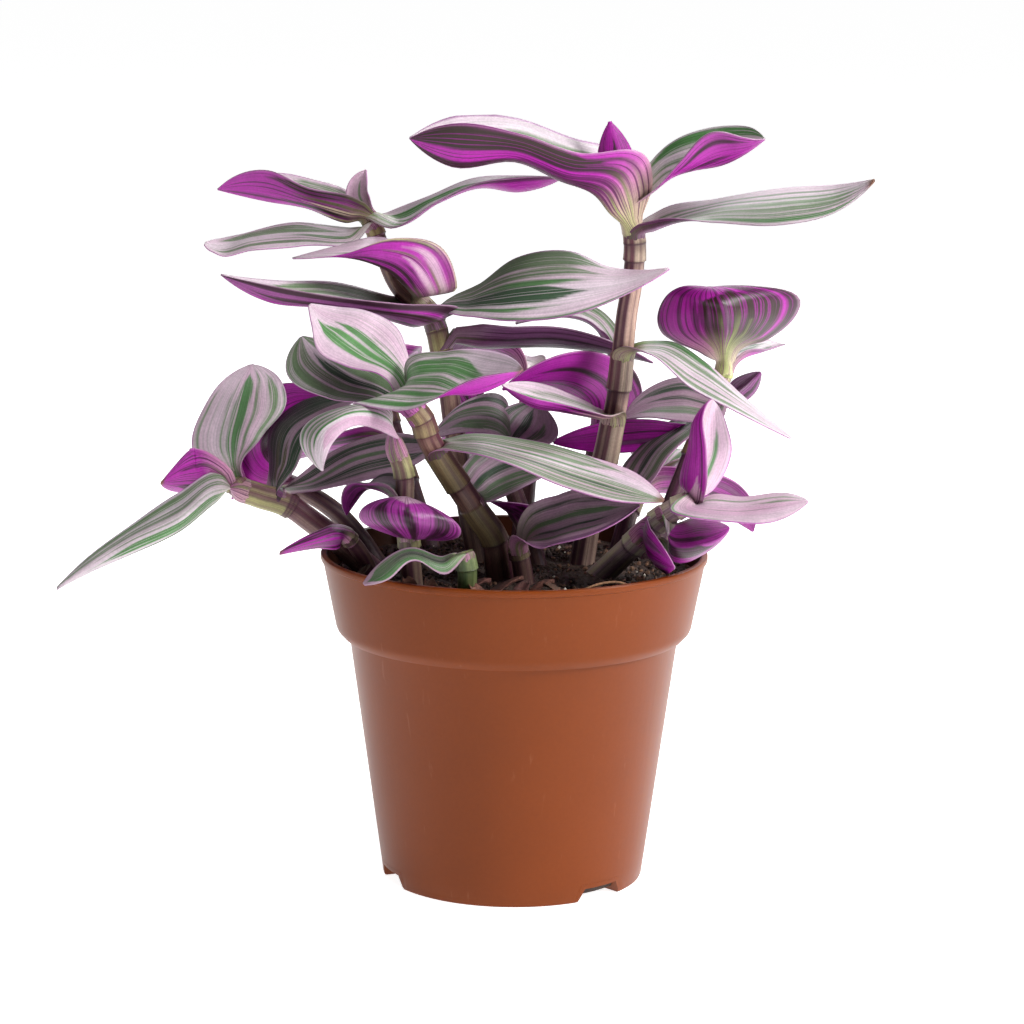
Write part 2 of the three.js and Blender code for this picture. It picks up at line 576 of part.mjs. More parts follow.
function leafSolid(stem, leaf) {
  const [, , route, halfWidth, roll, twist, fold, tipFold] = leaf;
  const curve = stemCurve(stem);
  const q = sheathSpan(stem, leaf)[1];
  const root = curve.at(q);
  const up = curve.direction(q);
  const radius = stemRadius(stem, q);
  const passes = route.map(vec);
  const out = passes[0].clone().sub(root);
  out.addScaledVector(up, -out.dot(up)).normalize();
  const inward = out.clone().negate();
  const foot = root.clone().addScaledVector(out, radius - 0.2).addScaledVector(up, -LEAF_ROOT);
  const opening = root.clone().addScaledVector(out, radius + 0.3);
  const rib = new Spline([opening, ...passes], up);

  const fine = 40 * rib.count;
  const finePoints = [];
  for (let i = 0; i <= fine; i++) finePoints.push(rib.at(rib.count * i / fine));
  const reached = [0];
  for (let i = 1; i <= fine; i++) {
    reached.push(reached[i - 1] + finePoints[i].distanceTo(finePoints[i - 1]));
  }
  const fineWays = finePoints.map((p, i) => rib.direction(rib.count * i / fine));
  const fineUppers = carried([up, ...fineWays], inward).slice(1);

  const small = halfWidth < SMALL_LEAF;
  const rows = [{ centre: foot, way: up, upper: inward, u: 0, ring: radius - 0.2 }];
  for (const u of small ? SMALL_STEPS : BLADE_STEPS) {
    const target = u * reached[fine];
    let i = 0;
    while (i < fine - 1 && reached[i + 1] < target) i++;
    const t = clamp01((target - reached[i]) / (reached[i + 1] - reached[i]));
    const place = rib.count * (i + t) / fine;
    const way = rib.direction(place);
    const upper = mixed(fineUppers[i], fineUppers[i + 1], t);
    upper.addScaledVector(way, -upper.dot(way)).normalize();
    const turn = roll * ease(0, 0.25, u) + twist * ease(0.25, 0.85, u);
    upper.applyAxisAngle(way, turn * Math.PI / 180);
    rows.push({ centre: rib.at(place), way, upper, u, ring: radius + 0.3 });
  }

  const faces = [[], []];
  const columns = small ? SMALL_ACROSS : ACROSS;
  for (const { centre, way, upper, u, ring } of rows) {
    const across = way.clone().cross(upper);
    const half = bladeWidth(u, halfWidth, ring);
    const bend = bladeFold(u, fold, tipFold);
    const keel = KEEL * half * ease(0.15, 0.35, u);
    for (const s of columns) {
      const sideways = half / bend * Math.sin(bend * s);
      const rise = half / bend * (1 - Math.cos(bend * s)) + keel * Math.abs(s);
      const middle = centre.clone().addScaledVector(across, sideways).addScaledVector(upper, rise);
      const normal = upper.clone().multiplyScalar(Math.cos(bend * s))
        .addScaledVector(across, -Math.sin(bend * s));
      faces[0].push(middle.clone().addScaledVector(normal, LEAF_THICKNESS / 2));
      faces[1].push(middle.clone().addScaledVector(normal, -LEAF_THICKNESS / 2));
    }
  }
  return solidFrom([...faces[0], ...faces[1]], sheetTriangles(rows.length, columns.length));
}

// A leaf given by its blade's cross-sections: one curve runs along each edge and one
// along the midrib, all three from the arc round the stem to the tip.
function sectionedLeafSolid(stem, leaf) {
  const sections = leaf[2].slice(0, -1).map((section) => section.map(vec));
  const tip = vec(leaf[2].at(-1));
  const curve = stemCurve(stem);
  const q = sheathSpan(stem, leaf)[1];
  const root = curve.at(q);
  const up = curve.direction(q);
  const radius = stemRadius(stem, q);
  const out = sections[0][1].clone().sub(root);
  out.addScaledVector(up, -out.dot(up)).normalize();
  const side = out.clone().cross(up);
  const onArc = (s, size) => out.clone().multiplyScalar(size * Math.cos(WRAP * s))
    .addScaledVector(side, size * Math.sin(WRAP * s));
  const ring = radius + 0.3;
  const lastSection = sections.at(-1);
  const tipSide = lastSection[2].clone().sub(lastSection[0]).normalize();
  const [minus, rib, plus] = [-1, 0, 1].map((s, k) => new Spline([
    root.clone().add(onArc(s, ring)), ...sections.map((section) => section[k]),
    tip.clone().addScaledVector(tipSide, s * TIP_HALF)
  ], up));
  const count = rib.count;
  const surface = (s, place) => {
    const [a, b, c] = [minus.at(place), rib.at(place), plus.at(place)];
    const rise = KEEL_SHARE * Math.abs(s) + (1 - KEEL_SHARE) * s * s;
    const blade = b.clone().addScaledVector(c.clone().sub(a), s / 2)
      .addScaledVector(c.add(a).multiplyScalar(0.5).sub(b), rise);
    const wrap = b.add(onArc(s, ring)).sub(onArc(0, ring));
    return wrap.lerp(blade, ease(0, OPENED_AT, place));
  };
  const faces = [[], []];
  const put = (middle, normal) => {
    faces[0].push(middle.clone().addScaledVector(normal, LEAF_THICKNESS / 2));
    faces[1].push(middle.clone().addScaledVector(normal, -LEAF_THICKNESS / 2));
  };
  const widest = Math.max(...sections.map((section) => section[0].distanceTo(section[2])));
  const columns = widest < NARROW_LEAF ? SMALL_ACROSS : ACROSS;
  for (const s of columns) {
    const middle = root.clone().addScaledVector(up, -LEAF_ROOT).add(onArc(s, radius - 0.2));
    put(middle, onArc(s, -1));
  }
  const places = [0, OPENED_AT - 0.1];
  for (let place = 1; place < count; place++) places.push(place);
  places.push(count - 0.45, count);
  const step = 0.01;
  for (const place of places) {
    const from = Math.max(0, place - step);
    const to = Math.min(count, place + step);
    for (const s of columns) {
      const across = surface(s + step, place).sub(surface(s - step, place));
      const way = surface(s, to).sub(surface(s, from));
      put(surface(s, place), across.cross(way).normalize());
    }
  }
  return solidFrom([...faces[0], ...faces[1]], sheetTriangles(places.length + 1, columns.length));
}

// Both faces of a sheet are split alike, and its four edges are closed.
function sheetTriangles(rows, columns) {
  const at = (i, j, face) => (face * rows + i) * columns + j;
  const triangles = [];
  const quad = (a, b, c, d, flipped) => {
    if (flipped) triangles.push([c, b, a], [d, c, a]);
    else triangles.push([a, b, c], [a, c, d]);
  };
  for (let i = 0; i + 1 < rows; i++) {
    for (let j = 0; j + 1 < columns; j++) {
      for (const face of [0, 1]) {
        quad(at(i, j, face), at(i, j + 1, face), at(i + 1, j + 1, face), at(i + 1, j, face), face === 1);
      }
    }
    quad(at(i, 0, 0), at(i + 1, 0, 0), at(i + 1, 0, 1), at(i, 0, 1), false);
    const j = columns - 1;
    quad(at(i, j, 0), at(i + 1, j, 0), at(i + 1, j, 1), at(i, j, 1), true);
  }
  for (let j = 0; j + 1 < columns; j++) {
    quad(at(0, j, 0), at(0, j, 1), at(0, j + 1, 1), at(0, j + 1, 0), false);
    const i = rows - 1;
    quad(at(i, j, 0), at(i, j, 1), at(i, j + 1, 1), at(i, j + 1, 0), true);
  }
  return triangles;
}

// Pot: a thin shell with a collar and a lip, and a flat floor. Under the floor's
// edge, shallow pockets open as notches in the foot, with a drain hole in each.
function radialBlock(angle, footWidth, topWidth, height, from, to) {
  const shape = new THREE.Shape();
  shape.moveTo(-footWidth / 2, -1);
  shape.lineTo(footWidth / 2, -1);
  shape.lineTo(footWidth / 2, 0);
  shape.lineTo(topWidth / 2, height);
  shape.lineTo(-topWidth / 2, height);
  shape.lineTo(-footWidth / 2, 0);
  const block = new THREE.ExtrudeGeometry(shape, { depth: to - from, bevelEnabled: false });
  block.rotateX(Math.PI / 2);
  block.translate(0, -from, 0);
  block.rotateZ(angle * Math.PI / 180);
  return solidOf(block);
}

const POT_OUTSIDE = [
  [0, 0], [BASE_RADIUS - 0.9, 0], [BASE_RADIUS, 0.9], [BODY_TOP_RADIUS, BODY_TOP_Z],
  [BODY_TOP_RADIUS + 2.1, BODY_TOP_Z + 0.7], [COLLAR_RADIUS - 0.7, COLLAR_Z - 2.2],
  [COLLAR_RADIUS, COLLAR_Z], [RIM_RADIUS - 0.7, POT_HEIGHT - 2.2], [RIM_RADIUS, POT_HEIGHT - 1.5],
  [RIM_RADIUS, POT_HEIGHT - 0.4], [RIM_RADIUS - 0.4, POT_HEIGHT]
];
const POT_INSIDE = [
  [RIM_RADIUS - 1.6, POT_HEIGHT], [RIM_RADIUS - 2.1, POT_HEIGHT - 0.5],
  [COLLAR_RADIUS - WALL, COLLAR_Z + 0.6], [COLLAR_RADIUS - WALL - 0.8, COLLAR_Z - 1.2],
  [BODY_TOP_RADIUS + 1.2, BODY_TOP_Z + 2.1], [BODY_TOP_RADIUS - WALL, BODY_TOP_Z + 1.4],
  [BASE_RADIUS - WALL + 0.1, FLOOR + 1.2], [BASE_RADIUS - WALL - 1, FLOOR]
];

function potSolid() {
  const shell = lathed([...POT_OUTSIDE, ...POT_INSIDE, [0, FLOOR]], ROUND);
  const room = lathed([
    [0, 0], [BASE_RADIUS - 0.9, 0], [BASE_RADIUS, 0.9], [BASE_RADIUS + 1.2, 9], [0, 9]
  ], ROUND);
  let pot = shell;
  const inner = BASE_RADIUS - NOTCH_DEPTH;
  for (const angle of NOTCH_ANGLES) {
    const roof = radialBlock(angle, NOTCH_FOOT_WIDTH + 2 * NOTCH_ROOF, NOTCH_TOP_WIDTH + 2 * NOTCH_ROOF,
      NOTCH_HEIGHT + NOTCH_ROOF, inner - NOTCH_ROOF, BASE_RADIUS + 4);
    pot = pot.add(roof.intersect(room));
  }
  for (const angle of NOTCH_ANGLES) {
    const notch = radialBlock(angle, NOTCH_FOOT_WIDTH, NOTCH_TOP_WIDTH, NOTCH_HEIGHT, inner, BASE_RADIUS + 6);
    const drain = new THREE.CylinderGeometry(DRAIN_RADIUS, DRAIN_RADIUS, 12, 12);
    drain.rotateX(Math.PI / 2);
    drain.translate(0, -DRAIN_AT, 4);
    drain.rotateZ(angle * Math.PI / 180);
    pot = pot.subtract(notch).subtract(solidOf(drain));
  }
  return pot;
}

// Soil: it fills the pot up to a low, slightly lumpy dome.
function soilTop(radius, angle) {
  const dome = SOIL_DOME * (1 - (radius / 57) ** 2);
  const lumps = Math.sin(0.21 * radius * Math.cos(angle) + 1.3) * Math.cos(0.24 * radius * Math.sin(angle));
  return SOIL_EDGE_Z + dome + SOIL_BUMP * lumps;
}

function soilSolid() {
  const bottom = FLOOR + GAP;
  const slope = (BODY_TOP_RADIUS - BASE_RADIUS) / (BODY_TOP_Z - 0.9);
  const inside = (z) => BASE_RADIUS - WALL + slope * (z - 0.9) - 0.45;
  const edge = RIM_RADIUS - WALL - 2.4;
  const profile = [
    [0, bottom], [inside(bottom) - 1.2, bottom], [inside(bottom + 2), bottom + 2],
    [inside(BODY_TOP_Z), BODY_TOP_Z], [BODY_TOP_RADIUS - WALL - 0.3, BODY_TOP_Z + 2.2],
    [BODY_TOP_RADIUS + 0.9, BODY_TOP_Z + 2.9], [COLLAR_RADIUS - WALL - 1.3, COLLAR_Z - 0.6],
    [COLLAR_RADIUS - WALL - 0.5, COLLAR_Z + 1.2], [edge, SOIL_EDGE_Z], [44, SOIL_EDGE_Z],
    [29, SOIL_EDGE_Z], [13, SOIL_EDGE_Z], [0, SOIL_EDGE_Z]
  ];
  const geometry = new THREE.LatheGeometry(profile.map((p) => new THREE.Vector2(p[0], p[1])), ROUND);
  geometry.rotateX(Math.PI / 2);
  const position = geometry.getAttribute("position");
  for (let i = 0; i < position.count; i++) {
    const [x, y, z] = [position.getX(i), position.getY(i), position.getZ(i)];
    if (z > SOIL_EDGE_Z - 0.5) {
      const radius = Math.hypot(x, y);
      position.setZ(i, radius < 0.01 ? soilTop(0, 0) : soilTop(radius, Math.atan2(y, x)));
    }
  }
  let soil = solidOf(geometry);
  const inner = BASE_RADIUS - NOTCH_DEPTH - NOTCH_ROOF - GAP;
  const margin = 2 * (NOTCH_ROOF + GAP);
  for (const angle of NOTCH_ANGLES) {
    soil = soil.subtract(radialBlock(angle, NOTCH_FOOT_WIDTH + margin, NOTCH_TOP_WIDTH + margin,
      NOTCH_HEIGHT + NOTCH_ROOF + GAP, inner, BASE_RADIUS + 8));
  }
  for (const stem of STEMS) {
    const hole = [[-0.03, HOLE_GAP + 0.1], [1.7, HOLE_GAP + 0.5]];
    soil = soil.subtract(tubeSolid(stem, hole, STEM_SIDES));
  }
  return soil;
}

const object = new THREE.Group();

function place(name, solid, colour, roughness) {
  const material = new THREE.MeshStandardMaterial({ color: colour, roughness, metalness: 0 });
  const mesh = new THREE.Mesh(geometryOf(solid), material);
  mesh.name = name;
  object.add(mesh);
}

place("pot", potSolid(), "#a85f41", 0.55);
place("soil", soilSolid(), "#3a2a22", 0.95);
for (const stem of STEMS) {
  let body = tubeSolid(stem, stemRings(stem), STEM_SIDES);
  for (const leaf of stem.leaves) {
    const solid = leaf.length === 4 ? sectionedLeafSolid(stem, leaf) : leafSolid(stem, leaf);
    body = body.add(solid);
  }
  place(stem.name, body, stem.colour, 0.5);
}

export default object;
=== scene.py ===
"""Potted tradescantia: the look of the plant, its soil and its pot. Metres, +Z up."""

import bmesh
import bpy
import numpy as np
from mathutils import Matrix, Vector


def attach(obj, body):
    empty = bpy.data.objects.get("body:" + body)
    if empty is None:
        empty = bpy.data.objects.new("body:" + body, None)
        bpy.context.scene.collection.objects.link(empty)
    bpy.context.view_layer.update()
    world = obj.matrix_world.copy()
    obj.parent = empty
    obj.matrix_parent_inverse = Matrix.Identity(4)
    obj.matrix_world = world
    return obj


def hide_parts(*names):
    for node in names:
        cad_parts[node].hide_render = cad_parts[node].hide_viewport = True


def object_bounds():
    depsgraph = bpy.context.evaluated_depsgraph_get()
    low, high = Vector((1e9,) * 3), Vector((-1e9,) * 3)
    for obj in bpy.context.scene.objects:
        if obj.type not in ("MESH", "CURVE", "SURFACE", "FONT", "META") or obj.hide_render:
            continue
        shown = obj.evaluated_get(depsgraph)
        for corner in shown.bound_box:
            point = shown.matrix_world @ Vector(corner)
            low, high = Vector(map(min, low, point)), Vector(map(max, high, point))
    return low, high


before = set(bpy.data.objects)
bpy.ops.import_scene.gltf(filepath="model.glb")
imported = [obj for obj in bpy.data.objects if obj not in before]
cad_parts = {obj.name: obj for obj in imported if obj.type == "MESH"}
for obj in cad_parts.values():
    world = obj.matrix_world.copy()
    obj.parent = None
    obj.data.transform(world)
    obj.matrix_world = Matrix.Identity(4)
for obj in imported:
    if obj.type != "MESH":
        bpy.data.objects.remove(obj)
cad_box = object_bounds()
MM = 0.001
EDGE_GAP = 0.00005

# The pot's sizes and the soil's level, in millimetres, as in the CAD source.
POT_HEIGHT = 102.7
RIM_RADIUS = 60.0
BASE_RADIUS = 40.7
FOOT_ROUND = 0.9
BODY_TOP_RADIUS = 51.1
BODY_TOP_Z = 76.4
BODY_SLOPE = (BODY_TOP_RADIUS - BASE_RADIUS) / (BODY_TOP_Z - FOOT_ROUND)
COLLAR_RADIUS = 55.5
COLLAR_Z = 81.0
WALL = 1.3
FLOOR = 1.5
NOTCH_ANGLES = (42, -68, 167)
NOTCH_HEIGHT = 4.3
NOTCH_TOP_WIDTH = 13.0
NOTCH_FOOT_WIDTH = 17.5
NOTCH_DEPTH = 12.0
NOTCH_ROOF = 1.4
DRAIN_RADIUS = 4.0
DRAIN_AT = 34.5
SOIL_EDGE_Z = 96.0
SOIL_DOME = 2.4
SOIL_BUMP = 0.7
SOIL_REACH = 57.0
LOOSE_REACH = 56.0
CRUMBS = 1500
GRIT = 40

# Leaves and stems, in millimetres, as in the CAD source.
ROOT_LENGTH = 13.0
LEAF_ROOT = 3.0
LEAF_GAP = 0.3
LEAF_SUNK = 0.2
SHEATH_WALL = 0.5
WRAP = 0.6 * np.pi
WIDEST_AT = 0.42
KEEL = 0.07
TIP_HALF = 0.6
OPENED_AT = 0.6
KEEL_SHARE = 0.35
HALF_THICK = 0.28
EDGE_THINNING = 0.1

# How finely things are meshed.
FOOT_STEPS = np.array([0.0, 0.35, 0.7])
BLADE_ROWS = 44
STEM_STEPS = 22
STEM_SIDES = 28
ROOT_SIDES = 7
DRAIN_SIDES = 32
SOIL_RINGS = 64
POT_SIDES = 144
RIPPLES = 9


def numbers(text):
    """Rows of numbers from text such as "1 2 3, 4 5 6"."""
    return np.array([part.split() for part in text.split(", ")], float)


# Every stem has its path, and its tones: dark and light between the nodes, then dark
# and light on the sheaths. A leaf has its name, the point of the path where its sheath
# starts, its blade, and its sheath's length. A blade is a row of cross-sections (one
# edge, the midrib, the other edge) and a tip; or else a midrib, a half width, a roll, a
# twist, a fold and a fold at the tip.
PLAIN_TONES = "#5c2c42 #957268 #664046 #9c8a64"
STEMS = [
    dict(name="stem_tall_right", r=(4, 2.9), tones="#4c2032 #c4a493 #683a46 #cdb79f", path=numbers(
        "21 6 97, 24 7 115, 28 8 130, 30 7 141, 32 6 153, 33 4 165, 34 3 176, 36 1 191, 36 0 200, "
        "35 0 205"), leaves=(
        ("a1", 7.9, "41 -8 219, 28 -8 209, 38 12 223, 37 -18 228, 23 -12 215, 29 10 227, 19 -22 228, "
         "13 -14 219, 18 4 230, 1 -27 234, 0 -19 225, -1 -4 237, -18 -27 237, -20 -22 224, -19 -12 238, "
         "-32 -20 232", 5),
        ("a2", 9, "31 -3 221, 28 -3 236", 7, 0, 0, 0.8, 0.5, 4),
        ("a3", 8.6, "42 8 224, 45 -4 219, 42 -13 217, 51 4 231, 53 -10 222, 49 -18 226, 62 -2 235, "
         "62 -12 224, 58 -21 234, 70 -8 235, 69 -15 228, 67 -21 233, 74 -16 232", 5),
        ("a4", 7.3, "44 8 208, 42 -3 203, 42 -10 207, 61 4 212, 58 -8 209, 59 -16 207, 81 -2 216, "
         "80 -14 212, 79 -22 207, 98 -9 218, 98 -16 215, 96 -20 211, 107 -17 220", 8),
        ("a6", 4, "46 5 168, 42 -4 166, 41 -10 166, 58 -5 163, 55 -12 160, 53 -18 157, 69 -13 154, "
         "67 -18 153, 64 -24 152, 83 -25 143", 11),
        ("a7", 2, "27 -15 148, 25 -9 146, 24 3 148, 15 -20 152, 14 -15 149, 15 -1 153, 4 -24 155, "
         "4 -21 152, 6 -9 157, -4 -21 158", 13),
    )),
    dict(name="stem_tall_left", r=(3.7, 2.4), tones="#582c3a #a08070 #78544c #b6ae76", path=numbers(
        "-11 8 97, -15 10 117, -19 12 139, -23 14 163, -27 16 175, -36 18 182, -41 19 192, -44 20 200, "
        "-46 21 204"), leaves=(
        ("b1", 7.45, "-50 12 211, -53 15 203, -51 29 210, -64 11 214, -65 18 207, -64 28 215, -77 14 219, "
         "-78 20 209, -75 27 217, -93 24 212", 1.2),
        ("b2", 7.85, "-49 26 211, -47 28 218", 4.4, 0, 0, 1, 0.5, 3),
        ("b3", 7.6, "-40 26 205, -36 16 203, -38 8 202, -27 18 211, -24 8 210, -24 2 211, -13 14 217, "
         "-11 4 215, -12 -3 217, 1 12 218, 1 3 214, 0 -5 219, 14 6 218", 1),
        ("b4", 6.8, "-51 4 197, -52 8 199, -52 18 201, -66 -2 198, -67 6 200, -66 15 202, -80 -6 197, "
         "-81 2 199, -79 9 201, -90 -6 194, -90 0 197, -88 5 200, -95 -2 198", 3),
        ("b5", 3.9, "-18 -2 186, -32 -5 184, -32 22 184, -23 -6 198, -39 -9 191, -36 20 194, -36 -10 201, "
         "-46 -10 194, -42 10 199, -52 -10 196, -54 -8 195, -55 2 197, -68 -5 194", 4),
        ("b6", 3, "-17 2 178, -32 -2 173, -29 30 176, -35 -10 181, -44 -7 177, -39 16 180, -56 -16 184, "
         "-60 -12 180, -57 3 186, -73 -17 187, -75 -14 182, -71 -4 187, -89 -14 190", 7),
        ("b7", 3.5, "-10 14 185, -13 2 181, -15 -8 177, 0 8 193, -3 -6 185, -2 -18 177, 16 2 196, "
         "16 -12 188, 15 -22 179, 29 -6 192, 32 -14 189, 34 -20 186, 46 -16 193", 4),
        ("b8", 2.8, "-11 16 164, 14 18 164, 43 20 159", 12, -5, 0, 0.7, 0.4, 6),
    )),
    dict(name="stem_front_left", r=(4.2, 3.3), tones="#582838 #947062 #5e3c3a #93805a", path=numbers(
        "-5 -20 103, -6 -21 110, -12 -24 120, -17 -26 128, -22 -28 136, -26 -30 143, -28 -31 149, "
        "-31 -32 153"), leaves=(
        ("c1", 6.95, "-33 -28 165, -33 -42 160, -48 -46 156, -20 -34 170, -24 -51 163, -33 -58 156, "
         "-5 -50 172, -12 -65 162, -8 -74 169, 2 -71 170", 3),
        ("c2", 3, "-19 -22 142, -14 -34 142, -13 -44 141, 4 -26 142, 1 -38 140, -3 -48 139, 23 -32 138, "
         "20 -42 135, 15 -50 132, 37 -40 134, 35 -46 131, 31 -51 128, 44 -49 128", 13.8),
        ("c3", 1, "-15 -8 132, -10 -13 127, -7 -20 122, -5 -2 138, 1 -9 132, 2 -19 126, 12 -13 131", 14),
        ("g1", 5.95, "-39 -34 162, -35 -28 163, -32 -22 166, -51 -31 165, -43 -23 169, -36 -18 175, "
         "-59 -29 169, -51 -23 175, -45 -19 180, -61 -26 176, -58 -22 178, -54 -18 181, -62 -21 182", 5),
        ("g2", 5.25, "-44 -28 153, -40 -22 155, -38 -17 158, -56 -24 154, -52 -17 158, -46 -9 164, "
         "-69 -20 161, -62 -13 165, -55 -7 168, -65 -12 171", 5),
    )),
    dict(name="stem_right_back", r=(3.6, 2.6), tones="#6d3d5a #b09a92 #8f9a55 #cdd68a", path=numbers(
        "43 18 96, 50 24 113, 56 28 128, 60 30 138, 62 31 145, 65 31 151, 66 31 155"), leaves=(
        ("d1", 6, "70 27 161, 65 20 164, 59 27 161, 80 32 166, 65 13 171, 45 26 168, 89 28 175, 63 6 180, "
         "47 18 180, 60 12 184", 3),
        ("d2", 4, "65 21 141, 65 26 145, 65 32 148, 51 12 142, 52 20 146, 53 30 153, 41 12 143, "
         "42 18 145, 42 26 150, 34 15 142", 4),
        ("d3", 2.6, "73 37 144, 70 34 147, 67 38 148, 78 42 149, 74 37 150, 71 43 151, 78 42 153", 6),
        ("d4", 5.6, "78 46 160, 86 56 160", 9, 0, 0, 0.6, 0.3, 4),
        ("d5", 2, "47 17 141, 48 19 137, 49 24 132, 30 17 141, 30 18 136, 31 22 130, 12 18 134", 6),
        ("f1", 2.8, "55 14 137, 54 20 139, 52 26 141, 48 6 132, 44 12 133, 40 20 133, 42 -2 125, "
         "38 4 125, 33 12 126, 33 -2 118", 5),
    )),
    dict(name="stem_right_low", r=(4, 3.2), tones="#a98a9a #d7cba6 #b493a0 #dcd9b0", path=numbers(
        "29 -12 100, 36 -17 108, 43 -21 116, 49 -24 121, 53 -25 123"), leaves=(
        ("e1", 4, "57 -35 128, 50 -28 129, 61 -12 125, 57 -38 141, 52 -28 140, 66 -12 136, 56 -35 151, "
         "54 -28 149, 64 -16 146, 59 -27 155", 3),
        ("e2", 3, "58 -26 125, 55 -38 124, 47 -47 124, 69 -31 126, 68 -42 124, 64 -50 122, 81 -35 128, "
         "79 -44 126, 76 -50 122, 87 -44 127", 5),
        ("e3", 2, "48 -30 106, 48 -37 112, 46 -25 117, 57 -25 107, 57 -34 112, 56 -22 118, "
         "65 -24 115", 4),
        ("e4", 1, "41 -34 108, 48 -40 106", 10, -40, 0, 0.6, 0.3, 4),
    )),
    dict(name="stem_left_trailing", r=(4, 3.2), tones="#6c344a #a07a74 #7a505a #b4ae74", path=numbers(
        "-49 -2 101, -55 -5 107, -62 -8 113, -70 -10 119, -79 -11 122, -85 -12 125, "
        "-86 -12 127"), leaves=(
        ("h1", 3, "-91 -20 121, -90 -22 126, -89 -13 129, -101 -30 114, -101 -30 119, -102 -20 124, "
         "-115 -36 108, -116 -34 112, -116 -26 115, -129 -38 102, -129 -38 104, -129 -34 106, "
         "-137 -38 98", 15),
        ("h2", 6, "-99 -6 135, -87 -3 136, -78 3 138, -96 2 147, -85 4 146, -71 9 148, -90 7 155, "
         "-83 9 154, -74 13 155, -82 11 159", 4),
        ("h3", 5, "-97 -12 125, -108 -14 126", 13, 40, 0, 0.8, 0.6, 4),
        ("h4", 2.9, "-76 3 129, -72 -6 131, -67 -8 130, -76 9 139, -70 -2 140, -63 -4 138, -67 12 147, "
         "-61 3 146, -56 -2 144, -50 4 149", 4),
        ("h6", 2.8, "-64 2 128, -63 -2 124, -60 -8 123, -51 8 135, -49 2 131, -45 -6 126, -36 9 138, "
         "-34 4 134, -33 -3 129, -24 3 135", 4),
    )),
    dict(name="stem_left_inner", r=(3.3, 2.7), tones=PLAIN_TONES, path=numbers(
        "-43 12 96, -49 11 105, -55 10 112, -63 9 118, -69 9 121"), leaves=(
        ("h5", 4, "-79 14 132, -71 18 143, -59 22 146", 13, -50, 0, 0.6, 0.3, 3),
    )),
    dict(name="stem_centre_left", r=(3.3, 2.7), tones="#5e3142 #9c8270 #6a4c48 #a8a472", path=numbers(
        "-31 -32 103, -32 -34 116, -33 -34 125, -33 -34 132, -35 -35 139"), leaves=(
        ("i1", 3, "-36 -46 146, -38 -48 152, -37 -38 153, -48 -59 151, -51 -59 154, -50 -50 156, "
         "-53 -65 147, -58 -63 148, -62 -54 148, -56 -63 139", 13),
        ("i2", 0.6, "-26 -39 114, -30 -43 115, -36 -39 115, -16 -46 117, -31 -54 125, -46 -46 123, "
         "-32 -46 128", 3),
        ("i5", 1.4, "-43 -26 127, -51 -22 118", 9, 0, 0, 0.6, 0.2, 4),
    )),
    dict(name="stem_front_sprout", r=(3, 2.8), tones="#54683a #8f9a62 #5f7344 #96a46c", path=numbers(
        "-14 -47 101, -14 -48 107, -15 -48 112"), leaves=(
        ("i3", 1, "-20 -56 107, -21 -57 110, -22 -50 111, -30 -62 112, -31 -60 113, -30 -52 114, "
         "-37 -65 107, -39 -64 108, -40 -58 110, -44 -62 105", 4),
    )),
    dict(name="stem_middle", r=(3.3, 2.7), tones=PLAIN_TONES, path=numbers(
        "7 2 98, 4 3 109, 0 4 120, -3 5 129"), leaves=(
        ("m1", 2.2, "-5 -3 139, -4 4 144, -4 14 149, -13 -6 141, -15 -1 146, -13 5 150, -26 -9 139", 6),
        ("m2", 2.9, "-8 -2 136, -1 4 135, 5 4 134, -6 5 144, 3 11 141, 13 8 137, 7 15 147", 5),
        ("m5", 0.8, "-2 -7 117, -7 -10 120", 9.5, -25, 0, 0.5, 0.2, 4),
    )),
    dict(name="stem_middle_low", r=(3.2, 2.8), tones=PLAIN_TONES, path=numbers(
        "3 -26 99, 2 -27 105, 1 -28 109"), leaves=(
        ("m4", 1.4, "14 -36 117, 25 -42 121, 37 -46 126", 12, 15, 0, 0.5, 0.3, 4),
    )),
    dict(name="stem_left_lip", r=(2.8, 2.3), tones=PLAIN_TONES, path=numbers(
        "-44 -12 98, -48 -18 107, -51 -20 111"), leaves=(
        ("k1", 1.6, "-54 -22 115, -53 -26 112, -53 -21 108, -59 -26 114, -60 -28 111, -60 -24 108, "
         "-71 -27 107", 3),
    )),
    dict(name="stem_right_inner", r=(3.3, 2.7), tones=PLAIN_TONES, path=numbers(
        "20 38 95, 24 36 119, 28 34 140, 32 32 155"), leaves=(
        ("a8", 1.6, "19 14 153, -4 2 153", 13, 50, 0, 0.5, 0.2, 6),
        ("q2", 3, "27 37 166, 0 35 169", 8, 10, 0, 0.6, 0.2, 6),
    )),
    dict(name="stem_back_left", r=(3.4, 2.6), tones=PLAIN_TONES, path=numbers(
        "-27 38 96, -34 46 116, -40 52 134, -44 55 148"), leaves=(
        ("r1", 3, "-42 66 150, -44 86 136", 13, 0, 0, 0.5, 0.2, 5),
        ("r2", 2, "-28 70 146, -14 86 128", 13, 0, 0, 0.5, 0.2, 6),
        ("r3", 1, "-62 52 124, -92 56 108", 13, 0, 0, 0.5, 0.2, 7),
    )),
    dict(name="stem_back", r=(3.4, 2.6), tones=PLAIN_TONES, path=numbers(
        "2 46 96, 4 52 116, 4 60 134, 5 66 146"), leaves=(
        ("s1", 3, "-8 82 152, -20 98 138", 13, 0, 0, 0.5, 0.2, 5),
        ("s2", 2, "20 72 146, 40 88 130", 13, 0, 0, 0.5, 0.2, 6),
        ("s3", 1, "-10 72 122, -22 96 104", 13, 0, 0, 0.5, 0.2, 7),
    )),
    dict(name="stem_back_right", r=(3.4, 2.6), tones=PLAIN_TONES, path=numbers(
        "33 30 96, 37 38 108, 42 46 117"), leaves=(
